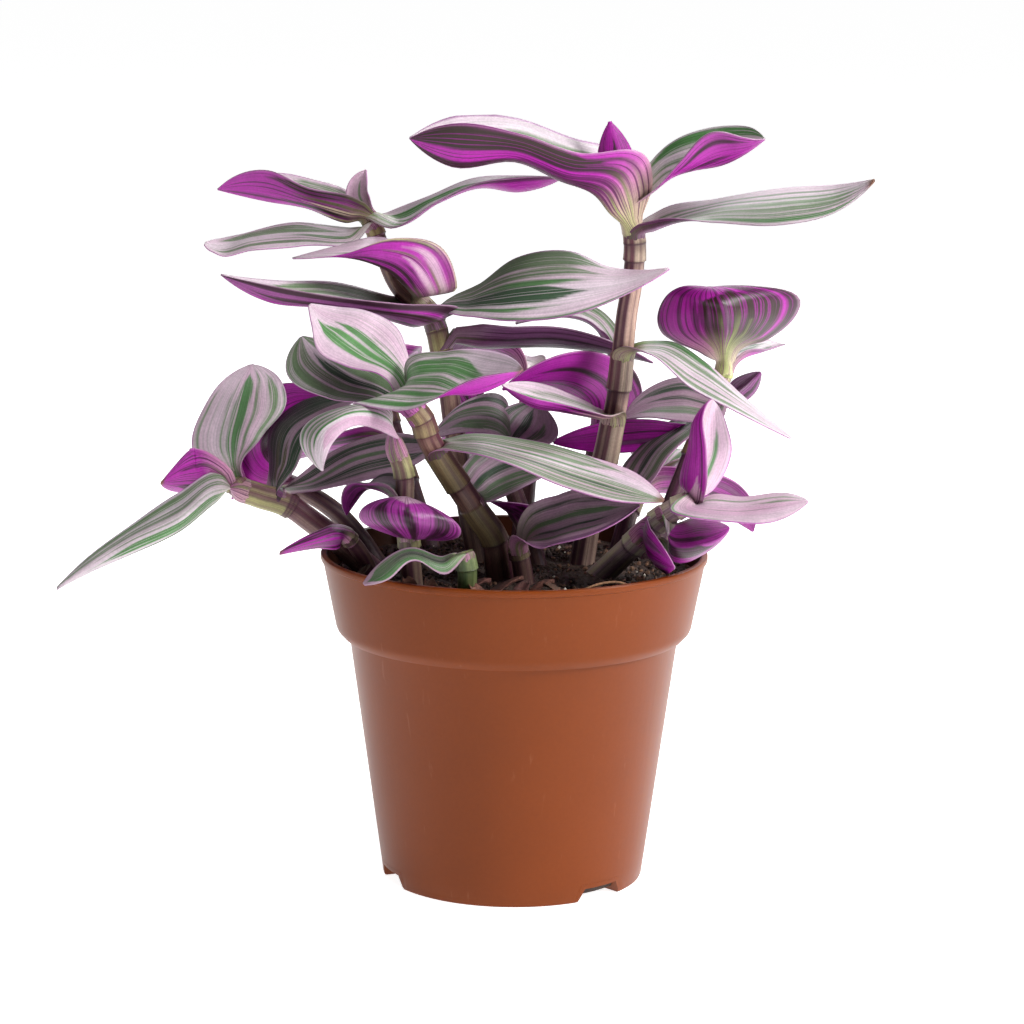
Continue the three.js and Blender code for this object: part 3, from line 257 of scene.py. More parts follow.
        ("t1", 2, "52 62 124, 54 84 108", 13, 0, 0, 0.5, 0.2, 5),
        ("t2", 1, "60 48 112, 78 58 98", 11, 0, 0, 0.5, 0.2, 6),
    )),
]

# How single leaves differ from the common look. Shares run from 0 to 1, a wave is
# in mm. A stripe has its colour's letter, its two edges across the blade (from -100 to
# 100), and where along the blade it starts and ends (0 is the base, 100 is the tip).
# Shade multiplies a leaf's colours: painted shade for leaves that lie in the shadow of others.
LEAF_LOOKS = dict(
    a1=dict(dusk=0, lime=1.2, pink=0.2, rim=0.8, foot=0.42,
        over="k 35 84 15 85, g 10 30 0 90, w 55 58 0 80",
        under="n -100 -60 46 110, m -74 -60 30 80, n -30 -5 36 110, m -42 -30 40 70, n -88 -84 0 60, "
              "m -64 -58 0 60, n -48 -44 0 50, m -30 -22 5 50, n -12 0 10 110, m 0 100 30 96"),
    a2=dict(dusk=0, lime=0.6, under="m -12 12 0 90, m -90 -80 0 60"),
    a3=dict(lime=0.9, pink=0.3, wave=0.8, over="g -100 -72 20 100, k -55 -42 10 80, k -20 -10 0 70",
        under="m 30 42 30 75, m 76 86 35 90, m 5 12 50 95, m -100 -10 0 100"),
    a4=dict(grey=0.7, pink=0.3, tip=1, lime=0.2, shade=0.9, rim=0.8,
        over="k -66 -56 10 90, k -42 -30 5 95, k -20 4 0 97, k 10 34 0 97, g 40 56 10 96, g 62 90 25 98",
        under="m -100 100 0 100, y -20 50 0 60"),
    a6=dict(pink=0.2, lime=0.9,
        over="g -100 -60 0 66, k -50 -26 5 85, k -12 -4 20 90, g 30 44 10 85, k 60 82 5 97",
        under="m -100 100 0 60"),
    a7=dict(dusk=0.1, lime=0.9, pink=0.2, foot=0.4, over="g 10 50 10 95, k 60 78 10 85, k -60 -10 0 100",
        under="n -96 -80 0 60, c -74 -66 0 50, n -60 -42 0 62, m -56 -50 40 96, l -36 -24 0 50, "
              "n -18 -4 0 70"),
    a8=dict(dusk=0, lime=0.1, under="m -50 -36 15 85, m 8 16 30 80"),
    b1=dict(lime=0.9, dusk=0.05, foot=0.35, over="k 45 95 10 75",
        under="n -100 -80 0 78, o -76 -66 0 64, c -60 -46 0 56, n -42 -26 0 70, m -33 -26 40 100, "
              "l -20 -8 0 50, n -4 10 0 75, m 10 100 0 80"),
    b2=dict(cover=0.1, pink=1, over="k -10 8 0 85"),
    b3=dict(lime=0.7, pink=0.2, dusk=0, over="g -70 -30 0 65, k -10 10 0 50, g 30 66 0 50, m 82 100 0 40",
        under="m 84 100 40 100, m -100 0 0 80"),
    b4=dict(grey=0.6, wave=1, pink=0.3,
        over="k 15 78 30 88, g -24 4 0 50, k -72 -52 20 95, k 84 92 10 50, k -40 -34 30 90"),
    b5=dict(dusk=0.1, lime=0.9, foot=0.3, over="k 30 40 30 90, y -80 -20 30 90",
        under="l -100 -94 0 86, n -91 -87 0 80, p -82 -70 0 56, o -67 -64 0 66, p -60 -46 0 50, "
              "m -42 -39 0 60, m -28 -18 0 80, n -14 10 0 92, m 10 100 0 100"),
    b6=dict(dusk=0.8, grey=0.6, lime=0.2, over="k 20 95 0 95, w 55 60 10 90",
        under="m -100 -78 0 100, v -74 -66 0 50, n -62 -42 0 92, y -38 -30 0 90, v -28 -14 50 100, "
              "m -20 -10 0 70, m -6 10 0 90, m 10 100 0 100"),
    b7=dict(grey=0.2, pink=0.3, lime=0.1, rim=0.8,
        over="k -100 -52 0 80, k -48 -22 2 78, g -16 0 10 72, d 3 55 6 70, g 60 74 0 60, g 90 98 30 92"),
    b8=dict(dusk=0.95, lime=0.2, shade=0.8,
        under="k -100 -60 0 100, m -50 -40 0 100, k -30 -16 0 80, m -10 15 0 100, m 50 60 0 100"),
    c1=dict(grey=0.2, pink=0.35, tip=0.8, lime=0.2,
        over="k -100 -82 0 66, g -76 -26 0 80, g -20 12 0 86, k 17 27 0 88, g 33 52 0 88, k 57 67 0 85, "
             "g 74 92 0 80", under="m 30 36 40 85, m -100 0 0 100"),
    c2=dict(pink=0.5, tip=0.9, lime=0.2, rim=0.9,
        over="k -100 -30 0 76, g -22 -10 0 80, k 0 92 5 106, p 20 25 10 95, d 30 42 10 90, "
             "p 52 58 20 100", under="m -100 100 0 100, y -50 20 0 50"),
    c3=dict(cover=0.75, grey=0.9, pink=0.9, shade=0.45),
    g1=dict(grey=0.1, pink=0.5, lime=0.2, rim=0.9,
        over="g -56 -10 0 86, g -4 20 0 74, k 24 32 0 50, w -34 -31 10 70"),
    g2=dict(grey=0.8, pink=0.3, lime=0.2, shade=0.9,
        over="k -100 -46 0 100, k -38 -6 0 100, d 0 30 0 80, k 36 90 0 100"),
    d1=dict(dusk=0, lime=1.2, wave=0.8, foot=0.55,
        under="m -130 -50 0 130, n -90 38 0 92, m 42 50 0 80, o 4 10 0 75, o -26 -18 0 75, "
              "o -42 -37 0 70, v -82 -78 40 100, y 22 25 0 80, y -6 -3 0 80"),
    d2=dict(dusk=0.7, pink=1, shade=0.5, over="k -50 -10 0 90, d 20 34 0 80, d 55 80 0 90"),
    d3=dict(cover=0.4, dusk=0.9, shade=0.8),
    d5=dict(cover=0.2, dusk=0, under="m -20 -10 10 90, y 30 50 0 80"),
    e1=dict(dusk=0, pink=0.6, lime=0.9, foot=0.2, rim=0.8,
        over="g 68 78 10 75, l 50 60 0 36, l -60 -40 0 30",
        under="m -5 2 20 90, p -100 -50 0 36, p -50 -5 0 30, y -46 -42 0 50"),
    e2=dict(pink=0.75, lime=0.3, rim=1,
        over="k -64 -54 10 98, g 86 95 0 50, k 10 13 30 80, k -40 -22 62 97"),
    e3=dict(cover=0.3, dusk=0.3, shade=0.8, under="m -60 0 0 80, m 20 36 0 80, p 93 100 0 100"),
    e4=dict(dusk=0, shade=0.8),
    f1=dict(cover=0.7, grey=0.7, pink=0.8, shade=0.6),
    h1=dict(pink=0.1, lime=0.6,
        over="k 55 86 5 97, k 14 40 10 100, g -84 -40 12 78, g -100 -90 10 70, k -20 -12 10 80"),
    h2=dict(grey=0.2, pink=0.5, lime=0.2,
        over="g -16 20 0 90, k 32 42 10 97, k 64 86 10 85, k -92 -85 10 70, k -34 -28 10 80, "
             "g 94 100 10 70"),
    h3=dict(dusk=0.05, tip=1, under="m -10 16 10 80, m 40 50 0 70, m -60 -55 0 80"),
    h4=dict(dusk=0.6, grey=0.8, pink=0.9, lime=0.1, shade=0.42,
        over="d -100 10 15 100, o 12 30 0 50, o -30 -10 0 50, d 40 90 0 90"),
    h5=dict(dusk=0, shade=0.8, under="m -30 10 0 70"),
    h6=dict(grey=0.9, pink=1, shade=0.5, over="d -70 -30 0 100, k -10 10 0 80, d 30 75 0 95"),
    i1=dict(pink=0.3, wave=0.8, shade=0.9,
        over="g 74 92 0 97, g 50 62 10 92, k 22 40 0 100, g -10 6 0 90, p -100 -30 0 85"),
    i2=dict(dusk=0.4, shade=0.75, under="m -80 -50 0 90, m -12 12 0 80, m 45 70 0 90, p -100 100 86 110"),
    i3=dict(pink=1, shade=0.7, rim=1, over="g -78 84 0 96, d 10 50 0 70, k -50 -40 0 80"),
    i5=dict(shade=0.4),
    k1=dict(dusk=0.1, tip=0.6),
    m1=dict(grey=0.9, pink=1, shade=0.42, cover=0.7),
    m2=dict(grey=0.9, pink=1, shade=0.48, cover=0.55),
    m4=dict(grey=0.6, pink=1, shade=0.75,
        over="d -76 -66 10 90, k -45 -22 5 92, d -2 8 10 85, k 30 42 10 80, y 66 100 0 100"),
    m5=dict(shade=0.6, pink=1),
    q2=dict(dusk=0.3, shade=0.9),
)
STEM_FEET = np.array([stem["path"][0, :2] for stem in STEMS])
LOOK = dict(cover=0.5, grey=0.3, pink=0.4, dusk=0.2, lime=0.5, tip=0.0, rim=0.5, wave=0.0, shade=1.0,
            foot=0.25, over=None, under=None)


def tone(text):
    """A linear colour from a screen colour such as "#8899aa"."""
    screen = np.array([int(text[i:i + 2], 16) for i in (1, 3, 5)]) / 255.0
    return np.where(screen <= 0.04045, screen / 12.92, ((screen + 0.055) / 1.055) ** 2.4)


WHITE = tone("#d0c3cb")
BLUSH = tone("#c09ab2")
GREEN = tone("#507e49")
GREY_GREEN = tone("#6c8561")
DEEP_GREEN = tone("#38523a")
LIME = tone("#b3bd74")
VIVID = tone("#a81b9c")
DUSKY = tone("#7c4a76")
MAROON = tone("#310f25")
PURPLE_EDGE = tone("#9a4a95")
BROWN = tone("#6d4530")
OLIVE = tone("#5f6136")
CREAM = tone("#d9c9a8")
DARK_BROWN = tone("#2c1a17")
TONES = dict(g=GREEN, k=GREY_GREEN, d=DEEP_GREEN, w=WHITE, p=BLUSH, l=LIME, m=MAROON, v=VIVID,
             y=DUSKY, o=OLIVE, c=CREAM, n=DARK_BROWN)
PALE_LETTERS = "wpc"
TERRACOTTA = tone("#70330e")
SCUFFED = tone("#8f573f")
# Painted shade for the pot's inner wall above the body.
INNER_WALL_SHADE = tone("#2e1c15")
SOIL_TONE = tone("#2f1f17")
CRUMB_TONES = [tone(text) for text in ("#2a1c15", "#3a271c", "#4a3325", "#241812", "#5a4130")]
GRIT_TONE = tone("#cfc8bb")
ROOT_TONE = tone("#7a5a40")


def unit(v):
    return v / np.maximum(np.linalg.norm(v, axis=-1, keepdims=True), 1e-9)


def ease(a, b, x):
    t = np.clip((x - a) / (b - a), 0, 1)
    return t * t * (3 - 2 * t)


def mixed(a, b, share):
    share = np.asarray(share)[..., None]
    return a * (1 - share) + b * share


class Spline:
    """A smooth curve through points; its place is counted in points."""

    def __init__(self, points, start=None):
        self.points = np.array(points, float)
        steps = np.diff(self.points, axis=0)
        self.lengths = np.linalg.norm(steps, axis=1)
        ways = steps / self.lengths[:, None]
        tangents = np.zeros_like(self.points)
        tangents[0], tangents[-1] = ways[0], ways[-1]
        for i in range(1, len(steps)):
            before, after = self.lengths[i - 1], self.lengths[i]
            tangents[i] = unit((ways[i - 1] * after + ways[i] * before) / (before + after))
        if len(steps) > 1:
            tangents[0] = unit(2 * tangents[0] - tangents[1])
            tangents[-1] = unit(2 * tangents[-1] - tangents[-2])
        if start is not None:
            tangents[0] = start
        self.tangents = tangents

    def at(self, place):
        place = np.atleast_1d(np.asarray(place, float))
        inside = np.clip(place, 0, len(self.lengths))
        i = np.minimum(inside.astype(int), len(self.lengths) - 1)
        t = (inside - i)[:, None]
        length = self.lengths[i][:, None]
        a, b = self.points[i], self.points[i + 1]
        ta, tb = self.tangents[i] * length, self.tangents[i + 1] * length
        t2, t3 = t * t, t * t * t
        return ((2 * t3 - 3 * t2 + 1) * a + (t3 - 2 * t2 + t) * ta
                + (-2 * t3 + 3 * t2) * b + (t3 - t2) * tb)

    def direction(self, place):
        low = np.clip(place - 1e-3, 0, len(self.lengths))
        high = np.clip(place + 1e-3, 0, len(self.lengths))
        return unit(self.at(high) - self.at(low))


def carried(directions, first):
    """A sideways direction, carried along a curve without twisting."""
    side = unit(first - (first @ directions[0]) * directions[0])
    out = [side]
    for before, now in zip(directions[:-1], directions[1:]):
        axis = np.cross(before, now)
        sine = np.linalg.norm(axis)
        if sine > 1e-8:
            axis = axis / sine
            angle = np.arctan2(sine, before @ now)
            side = (side * np.cos(angle) + np.cross(axis, side) * np.sin(angle)
                    + axis * (axis @ side) * (1 - np.cos(angle)))
        side = unit(side - (side @ now) * now)
        out.append(side)
    return np.array(out)


def around(sides):
    """The angles of the points of a ring."""
    return np.arange(sides) * 2 * np.pi / sides


def circle(radius, z, sides):
    """A ring of points round the pot's axis."""
    angle = around(sides)
    return np.stack([radius * np.cos(angle), radius * np.sin(angle), np.full(sides, float(z))], -1)


def tube(centres, radius, side, other, angle):
    """Points of rings round a line."""
    ring = np.cos(angle)[None, :, None] * side[:, None] + np.sin(angle)[None, :, None] * other[:, None]
    return centres[:, None] + radius * ring


def stem_curve(stem):
    path = stem["path"]
    root = path[0] - unit(path[1] - path[0]) * ROOT_LENGTH
    return Spline([root, *path])


def stem_radius(stem, place):
    low, high = stem["r"]
    return low + (high - low) * np.clip(np.asarray(place) / len(stem["path"]), 0, 1)


def sheath_span(stem, leaf):
    """Where a leaf's sheath starts and ends along the stem, counted in points."""
    curve = stem_curve(stem)
    last = len(stem["path"])
    start = leaf[1] + 1
    ahead = min(start + 0.02, last)
    per_point = np.linalg.norm(curve.at(ahead) - curve.at(ahead - 0.02)) / 0.02
    return start, min(last, start + leaf[-1] / per_point)


def leaf_start(stem, leaf, target):
    """Where a leaf leaves its stem, the stem's direction, the way outward, and the radius."""
    curve = stem_curve(stem)
    place = sheath_span(stem, leaf)[1]
    root, up = curve.at(place)[0], curve.direction(place)[0]
    out = unit(target - root - ((target - root) @ up) * up)
    return root, up, out, float(stem_radius(stem, place))


def blade_rows(stem, leaf, steps):
    """Centre line, directions and ring radius of a leaf, from its foot to its tip."""
    roll, twist = leaf[4:6]
    route = numbers(leaf[2])
    root, up, out, radius = leaf_start(stem, leaf, route[0])
    opening = root + out * (radius + LEAF_GAP)
    foot = root + out * (radius - LEAF_SUNK) - up * LEAF_ROOT
    rib = Spline([opening, *route], up)
    fine = np.linspace(0, len(route), 40 * len(route) + 1)
    strides = np.linalg.norm(np.diff(rib.at(fine), axis=0), axis=1)
    reached = np.concatenate([[0], np.cumsum(strides)])
    places = np.interp(steps * reached[-1], reached, fine)
    uppers = carried(np.concatenate([[up], rib.direction(fine)]), -out)[1:]
    upper = np.stack([np.interp(places, fine, uppers[:, k]) for k in range(3)], -1)
    centres = np.concatenate([foot + (opening - foot) * FOOT_STEPS[:, None], rib.at(places)])
    ways = np.concatenate([np.tile(up, (len(FOOT_STEPS), 1)), rib.direction(places)])
    upper = np.concatenate([np.tile(-out, (len(FOOT_STEPS), 1)), upper])
    upper = unit(upper - np.sum(upper * ways, -1, keepdims=True) * ways)
    u = np.concatenate([FOOT_STEPS - 1, steps])
    turn = np.radians(roll * ease(0, 0.25, u) + twist * ease(0.25, 0.85, u))[:, None]
    upper = upper * np.cos(turn) + np.cross(ways, upper) * np.sin(turn)
    ring = np.where(u < 0, radius - LEAF_SUNK + (LEAF_GAP + LEAF_SUNK) * (u + 1), radius + LEAF_GAP)
    return centres, upper, np.cross(ways, upper), u, ring


def blade_half(u, half_width, ring):
    past = np.maximum(u - WIDEST_AT, 0) / (1 - WIDEST_AT)
    before = np.maximum(WIDEST_AT - np.maximum(u, 0), 0) / WIDEST_AT
    outline = np.where(u > WIDEST_AT, np.maximum(1 - past ** 2, 0) ** 0.85, 1 - 0.22 * before ** 2)
    opened = ease(0, 0.15, u)
    return np.maximum(0.5, WRAP * ring * (1 - opened) + half_width * outline * opened)


def blade_fold(u, fold, tip_fold):
    opened = ease(0.02, 0.34, u)
    bend = WRAP * (1 - opened) + fold * opened + (tip_fold - fold) * ease(0.45, 1, u)
    return np.where(np.abs(bend) < 0.001, 0.001, bend)


def folded_blade(stem, leaf, steps, v):
    """Points and normals of a leaf that is given by its midrib, width and fold."""
    half_width, fold, tip_fold = leaf[3], leaf[6], leaf[7]
    centres, upper, across, u, ring = blade_rows(stem, leaf, steps)
    half = blade_half(u, half_width, ring)
    bend = blade_fold(u, fold, tip_fold)
    angle = bend[:, None] * v
    sideways = (half / bend)[:, None] * np.sin(angle)
    rise = (half / bend)[:, None] * (1 - np.cos(angle))
    rise += (KEEL * half * ease(0.15, 0.35, u))[:, None] * np.abs(v)
    points = (centres[:, None] + sideways[..., None] * across[:, None]
              + rise[..., None] * upper[:, None])
    normals = (np.cos(angle)[..., None] * upper[:, None] - np.sin(angle)[..., None] * across[:, None])
    return points, normals, u


def sectioned_blade(stem, leaf, steps, v):
    """Points and normals of a leaf that is given by the cross-sections of its blade."""
    *rows, tip = numbers(leaf[2])
    sections = np.reshape(rows, (-1, 3, 3))
    root, up, out, radius = leaf_start(stem, leaf, sections[0, 1])
    side = np.cross(out, up)
    tip_side = unit(sections[-1, 2] - sections[-1, 0]) * TIP_HALF
    skin = radius + LEAF_GAP

    def on_arc(s, size):
        return size * (np.cos(WRAP * s)[..., None] * out + np.sin(WRAP * s)[..., None] * side)

    rails = [Spline([root + on_arc(np.array(s), skin), *sections[:, k], tip + s * tip_side], up)
             for k, s in enumerate((-1.0, 0.0, 1.0))]
    last = len(sections) + 1
    places = steps * last

    def surface(s, at):
        minus, rib, plus = (rail.at(at)[:, None] for rail in rails)
        s = np.broadcast_to(s, (len(at), len(s)))
        rise = KEEL_SHARE * np.abs(s) + (1 - KEEL_SHARE) * s * s
        blade = rib + (plus - minus) * (s / 2)[..., None] + ((minus + plus) / 2 - rib) * rise[..., None]
        wrap = rib + on_arc(s, skin) - on_arc(0 * s, skin)
        opened = ease(0, OPENED_AT, at)[:, None, None]
        return wrap * (1 - opened) + blade * opened

    across = surface(v + 0.01, places) - surface(v - 0.01, places)
    way = surface(v, np.minimum(last, places + 0.01)) - surface(v, np.maximum(0, places - 0.01))
    feet = [root - up * LEAF_ROOT * (1 - k) + on_arc(v, radius - LEAF_SUNK + (LEAF_GAP + LEAF_SUNK) * k)
            for k in FOOT_STEPS]
    inward = [-on_arc(v, 1.0) for _ in FOOT_STEPS]
    return (np.concatenate([np.array(feet), surface(v, places)]),
            np.concatenate([np.array(inward), unit(np.cross(across, way))]),
            np.concatenate([FOOT_STEPS - 1, steps]))


def stripes(text):
    """Stripes from text such as "g -20 5 0 90": a letter and four shares in hundredths."""
    rows = [part.split() for part in text.split(", ")]
    return [(letter, *(int(share) / 100 for share in shares)) for letter, *shares in rows]


def band_share(u, v, band, rng):
    """How far a stripe covers a place; it runs along the veins and tapers at its ends."""
    _, low, high, start, end = band
    reach = np.ones_like(u)
    if start > 0:
        reach = reach * ease(start - 0.1, start + 0.12, u)
    if end < 1:
        reach = reach * (1 - ease(end - 0.22, end, u))
    half = (high - low) / 2 * reach
    drift = 0.022 * np.sin(6 * u + rng.uniform(0, 6)) + 0.01 * np.sin(19 * u + rng.uniform(0, 6))
    away = np.abs(v - (low + high) / 2 - drift)
    return (1 - ease(half - 0.025, half + 0.025, away)) * (half > 0.004)


def stray_bands(rng, cover, broad, thin):
    """A few broad stripes of uneven width, and thin ones of uneven length."""
    bands = []
    place = -1.0 + rng.uniform(0, 0.25)
    while place < 0.85:
        width = rng.uniform(0.08, 0.2 + 0.55 * cover)
        start = rng.choice([0.0, 0.0, rng.uniform(0.05, 0.3)])
        bands.append((broad[rng.integers(len(broad))], place, place + width, start, rng.uniform(0.75, 1.1)))
        place += width + rng.uniform(0.08, 0.16 + 0.5 * (1 - cover))
    for _ in range(9):
        middle, half = rng.uniform(-0.92, 0.92), rng.uniform(0.008, 0.028)
        start = rng.uniform(-0.1, 0.5)
        bands.append((thin[rng.integers(len(thin))], middle - half, middle + half, start,
                      start + rng.uniform(0.3, 0.7)))
    return bands


def painted(colour, u, v, text, spare, rng):
    """The colour under a leaf's own stripes, or stray ones, and how striped each place is."""
    striped = np.zeros_like(u)
    for band in stripes(text) if text else stray_bands(rng, *spare):
        share = band_share(u, v, band, rng)
        colour = mixed(colour, TONES[band[0]], share)
        striped = np.maximum(striped * (1 - share), share * (band[0] not in PALE_LETTERS))
    return colour, striped


def blade_colours(u, v, look, rng):
    """Colours of both faces, and the colours of the fine streaks on each."""
    drift = 0.5 + 0.5 * np.sin(3.1 * u + 4.3 * v + rng.uniform(0, 6))
    pale = mixed(WHITE, BLUSH, np.clip(look["pink"] + 0.4 * (drift - 0.5), 0, 1))
    greens = "gkd" if look["grey"] < 0.5 else "kkd"
    over, striped = painted(pale, u, v, look["over"], (look["cover"], greens, greens + "w"), rng)
    over = mixed(over, over * 0.8, striped * drift)
    over_streak = mixed(mixed(pale, GREY_GREEN, 0.28), mixed(pale, GREY_GREEN, 0.3), striped)
    vivid = mixed(VIVID, DUSKY, np.clip(look["dusk"] + 0.25 * (drift - 0.5), 0, 1))
    under, dark = painted(vivid, u, v, look["under"], (look["cover"] * 0.8, "mmy", "mmv"), rng)
    under_streak = mixed(mixed(vivid, MAROON, 0.85), mixed(vivid, MAROON, 0.6), dark)
    edge = ease(0.95, 1.0, np.abs(v))
    over = mixed(over, PURPLE_EDGE, edge * look["rim"])
    under = mixed(under, BLUSH, edge * 0.5)
    base = (1 - ease(0.0, look["foot"], u)) * look["lime"]
    over = mixed(over, LIME, base * 0.7)
    under = mixed(under, mixed(LIME, CREAM, drift), base * 0.7)
    tip = ease(0.93, 0.99, u) * look["tip"]
    # The look's shade darkens the leaf's colours: painted shade.
    return [mixed(colour * look["shade"], BROWN, tip) for colour in (over, under, over_streak, under_streak)]


def placed(name, data):
    piece = bpy.data.objects.new(name, data)
    bpy.context.scene.collection.objects.link(piece)
    return piece


class Builder:
    """Gathers points and faces into one mesh with its colours, inside the solids' box."""

    def __init__(self):
        self.points, self.colours, self.streaks, self.lies = [], [], [], []
        self.faces = []
        self.count = 0

    def add(self, points, face_groups, colours, streaks=None, lies=0.0):
        streaks = colours if streaks is None else streaks
        for store, values in ((self.points, points), (self.colours, colours),
                              (self.streaks, streaks), (self.lies, lies)):
            store.append(np.broadcast_to(values, points.shape).reshape(-1, 3))
        for group in face_groups:
            self.faces += (np.asarray(group) + self.count).tolist()
        self.count += points.size // 3

    def mesh(self, name, material, smooth=True):
        data = bpy.data.meshes.new(name)
        low, high = np.array(cad_box)
        points = np.clip(np.concatenate(self.points) * MM, low + EDGE_GAP, high - EDGE_GAP)
        data.from_pydata(points.tolist(), [], self.faces)
        for layer, parts in (("paint", self.colours), ("streak", self.streaks)):
            colours = np.concatenate(parts)
            paint = data.attributes.new(layer, "FLOAT_COLOR", "POINT")
            paint.data.foreach_set("color", np.c_[colours, np.ones(len(colours))].ravel())
        lie = data.attributes.new("lie", "FLOAT_VECTOR", "POINT")
        lie.data.foreach_set("vector", np.concatenate(self.lies).ravel())
        if smooth:
            data.shade_smooth()
        data.materials.append(material)
        return placed(name, data)


def grid_faces(rows, columns, first=0, flip=False, wrap=False):
    i, j = np.meshgrid(np.arange(rows - 1), np.arange(columns if wrap else columns - 1), indexing="ij")
    after = (j + 1) % columns
    quads = np.stack([i * columns + j, i * columns + after,
                      (i + 1) * columns + after, (i + 1) * columns + j], -1).reshape(-1, 4)
    return first + (quads[:, ::-1] if flip else quads)


def slab_faces(rows, columns):
    """Faces of a thin slab: its upper grid, its lower grid, and the rim between them."""
    count = rows * columns
    rim = np.concatenate([np.arange(0, count, columns), count - columns + np.arange(1, columns),
                          np.arange(count - columns - 1, 0, -columns), np.arange(columns - 2, 0, -1)])
    after = np.roll(rim, -1)
    return (grid_faces(rows, columns), grid_faces(rows, columns, count, True),
            np.stack([rim, after, after + count, rim + count], -1))


def add_leaf(builder, stem, leaf, seed):
    look = {**LOOK, **LEAF_LOOKS.get(leaf[0], {})}
    rng = np.random.default_rng(seed)
    sectioned = len(leaf) == 4
    steps = np.linspace(0, 1, BLADE_ROWS) ** 0.92
    v = np.linspace(-1, 1, 45 if sectioned or leaf[3] > 11 else 33)
    points, normal, u = (sectioned_blade if sectioned else folded_blade)(stem, leaf, steps, v)
    phase = rng.uniform(0, 6)
    ripple = np.sin(RIPPLES * u[:, None] + phase + 1.7 * np.sign(v)) * np.abs(v) ** 2.2
    ripple = ripple * (ease(0.15, 0.45, u) * (1 - ease(0.85, 1, u)))[:, None]
    points = points + look["wave"] * ripple[..., None] * normal
    thick = HALF_THICK - EDGE_THINNING * np.abs(v)[None, :, None] ** 4
    uu, vv = np.meshgrid(u, v, indexing="ij")
    over, under, over_streak, under_streak = blade_colours(uu, vv, look, rng)
    lie = np.stack([uu, vv, np.full(uu.shape, float(seed))], -1)
    builder.add(np.concatenate([points + normal * thick, points - normal * thick]),
                slab_faces(len(u), len(v)), np.concatenate([over, under]),
                np.concatenate([over_streak, under_streak]), np.concatenate([lie, lie]))


def add_stem(builder, stem, seed):
    """A stem with its sheaths, its dark rings and its two end caps."""
    rng = np.random.default_rng(seed)
    curve = stem_curve(stem)
    last = len(stem["path"])
    spans = [sheath_span(stem, leaf) for leaf in stem["leaves"]]
    place = np.unique(np.concatenate([np.linspace(0, last, STEM_STEPS * last + 1)]
                                     + [[a - 0.03, a - 0.005, a + 0.01, b] for a, b in spans]))
    place = place[(place >= 0) & (place <= last)]
    directions = curve.direction(place)
    side = carried(directions, np.array([1, 0.13, 0.07]))
    extra, ring, sheathed = np.zeros((3, len(place)))
    for start, end in spans:
        inside = ease(start - 0.02, start, place) * (1 - ease(end, end + 0.05, place))
        extra = np.maximum(extra, inside * (SHEATH_WALL - 0.1 * np.clip((place - start) / 0.5, 0, 1)))
        ring = np.maximum(ring, np.exp(-((place - start + 0.02) / 0.035) ** 2))
        sheathed = np.maximum(sheathed, inside)
    angle = around(STEM_SIDES)
    groove = 0.05 * np.sin(7 * angle + 3) + 0.03 * np.sin(13 * angle)
    radius = (stem_radius(stem, place) + extra + 0.12 * ring)[:, None] + groove
    points = tube(curve.at(place), radius[..., None], side, np.cross(directions, side), angle)

    streak = 0.5 + 0.7 * np.sin(5 * angle + rng.uniform(0, 6)) * np.sin(3 * angle + rng.uniform(0, 6))
    streak = ease(0.0, 1.0, streak)
    dark, light, wrap_dark, wrap_light = (tone(text) for text in stem["tones"].split())
    colours = mixed(mixed(dark, light, streak), mixed(wrap_dark, wrap_light, streak), sheathed[:, None])
    colours = mixed(colours, MAROON, 0.85 * ring[:, None])
    nodes = np.array([start for start, _ in spans] + [last + 0.0])
    since = np.array([np.min(nodes[nodes >= p - 1e-6] - p) for p in place])
    colours = mixed(colours, dark, 0.55 * (1 - ease(0, 0.45, since))[:, None])
    # Painted shade: the stems grow darker towards the soil, where the leaves above shade them.
    height = ease(SOIL_EDGE_Z, SOIL_EDGE_Z + 50, points[..., 2])
    colours = colours * (0.38 + 0.62 * height[..., None])
    uu, vv = np.meshgrid(place * 0.4, np.cos(angle) * 0.8, indexing="ij")
    lie = np.stack([uu, vv, np.full(uu.shape, float(seed))], -1)

    ends = [len(place) * STEM_SIDES, len(place) * STEM_SIDES + 1]
    j = np.arange(STEM_SIDES)
    after = (j + 1) % STEM_SIDES
    top = ends[0] - STEM_SIDES
    faces = (grid_faces(len(place), STEM_SIDES, wrap=True),
             np.stack([after, j, np.full(STEM_SIDES, ends[0])], -1),
             np.stack([top + j, top + after, np.full(STEM_SIDES, ends[1])], -1))
    colours = np.concatenate([colours.reshape(-1, 3), np.stack([dark, LIME])])
    builder.add(np.concatenate([points.reshape(-1, 3), curve.at(np.array([0, last]))]), faces,
                colours, colours * 0.6, np.concatenate([lie.reshape(-1, 3), np.zeros((2, 3))]))


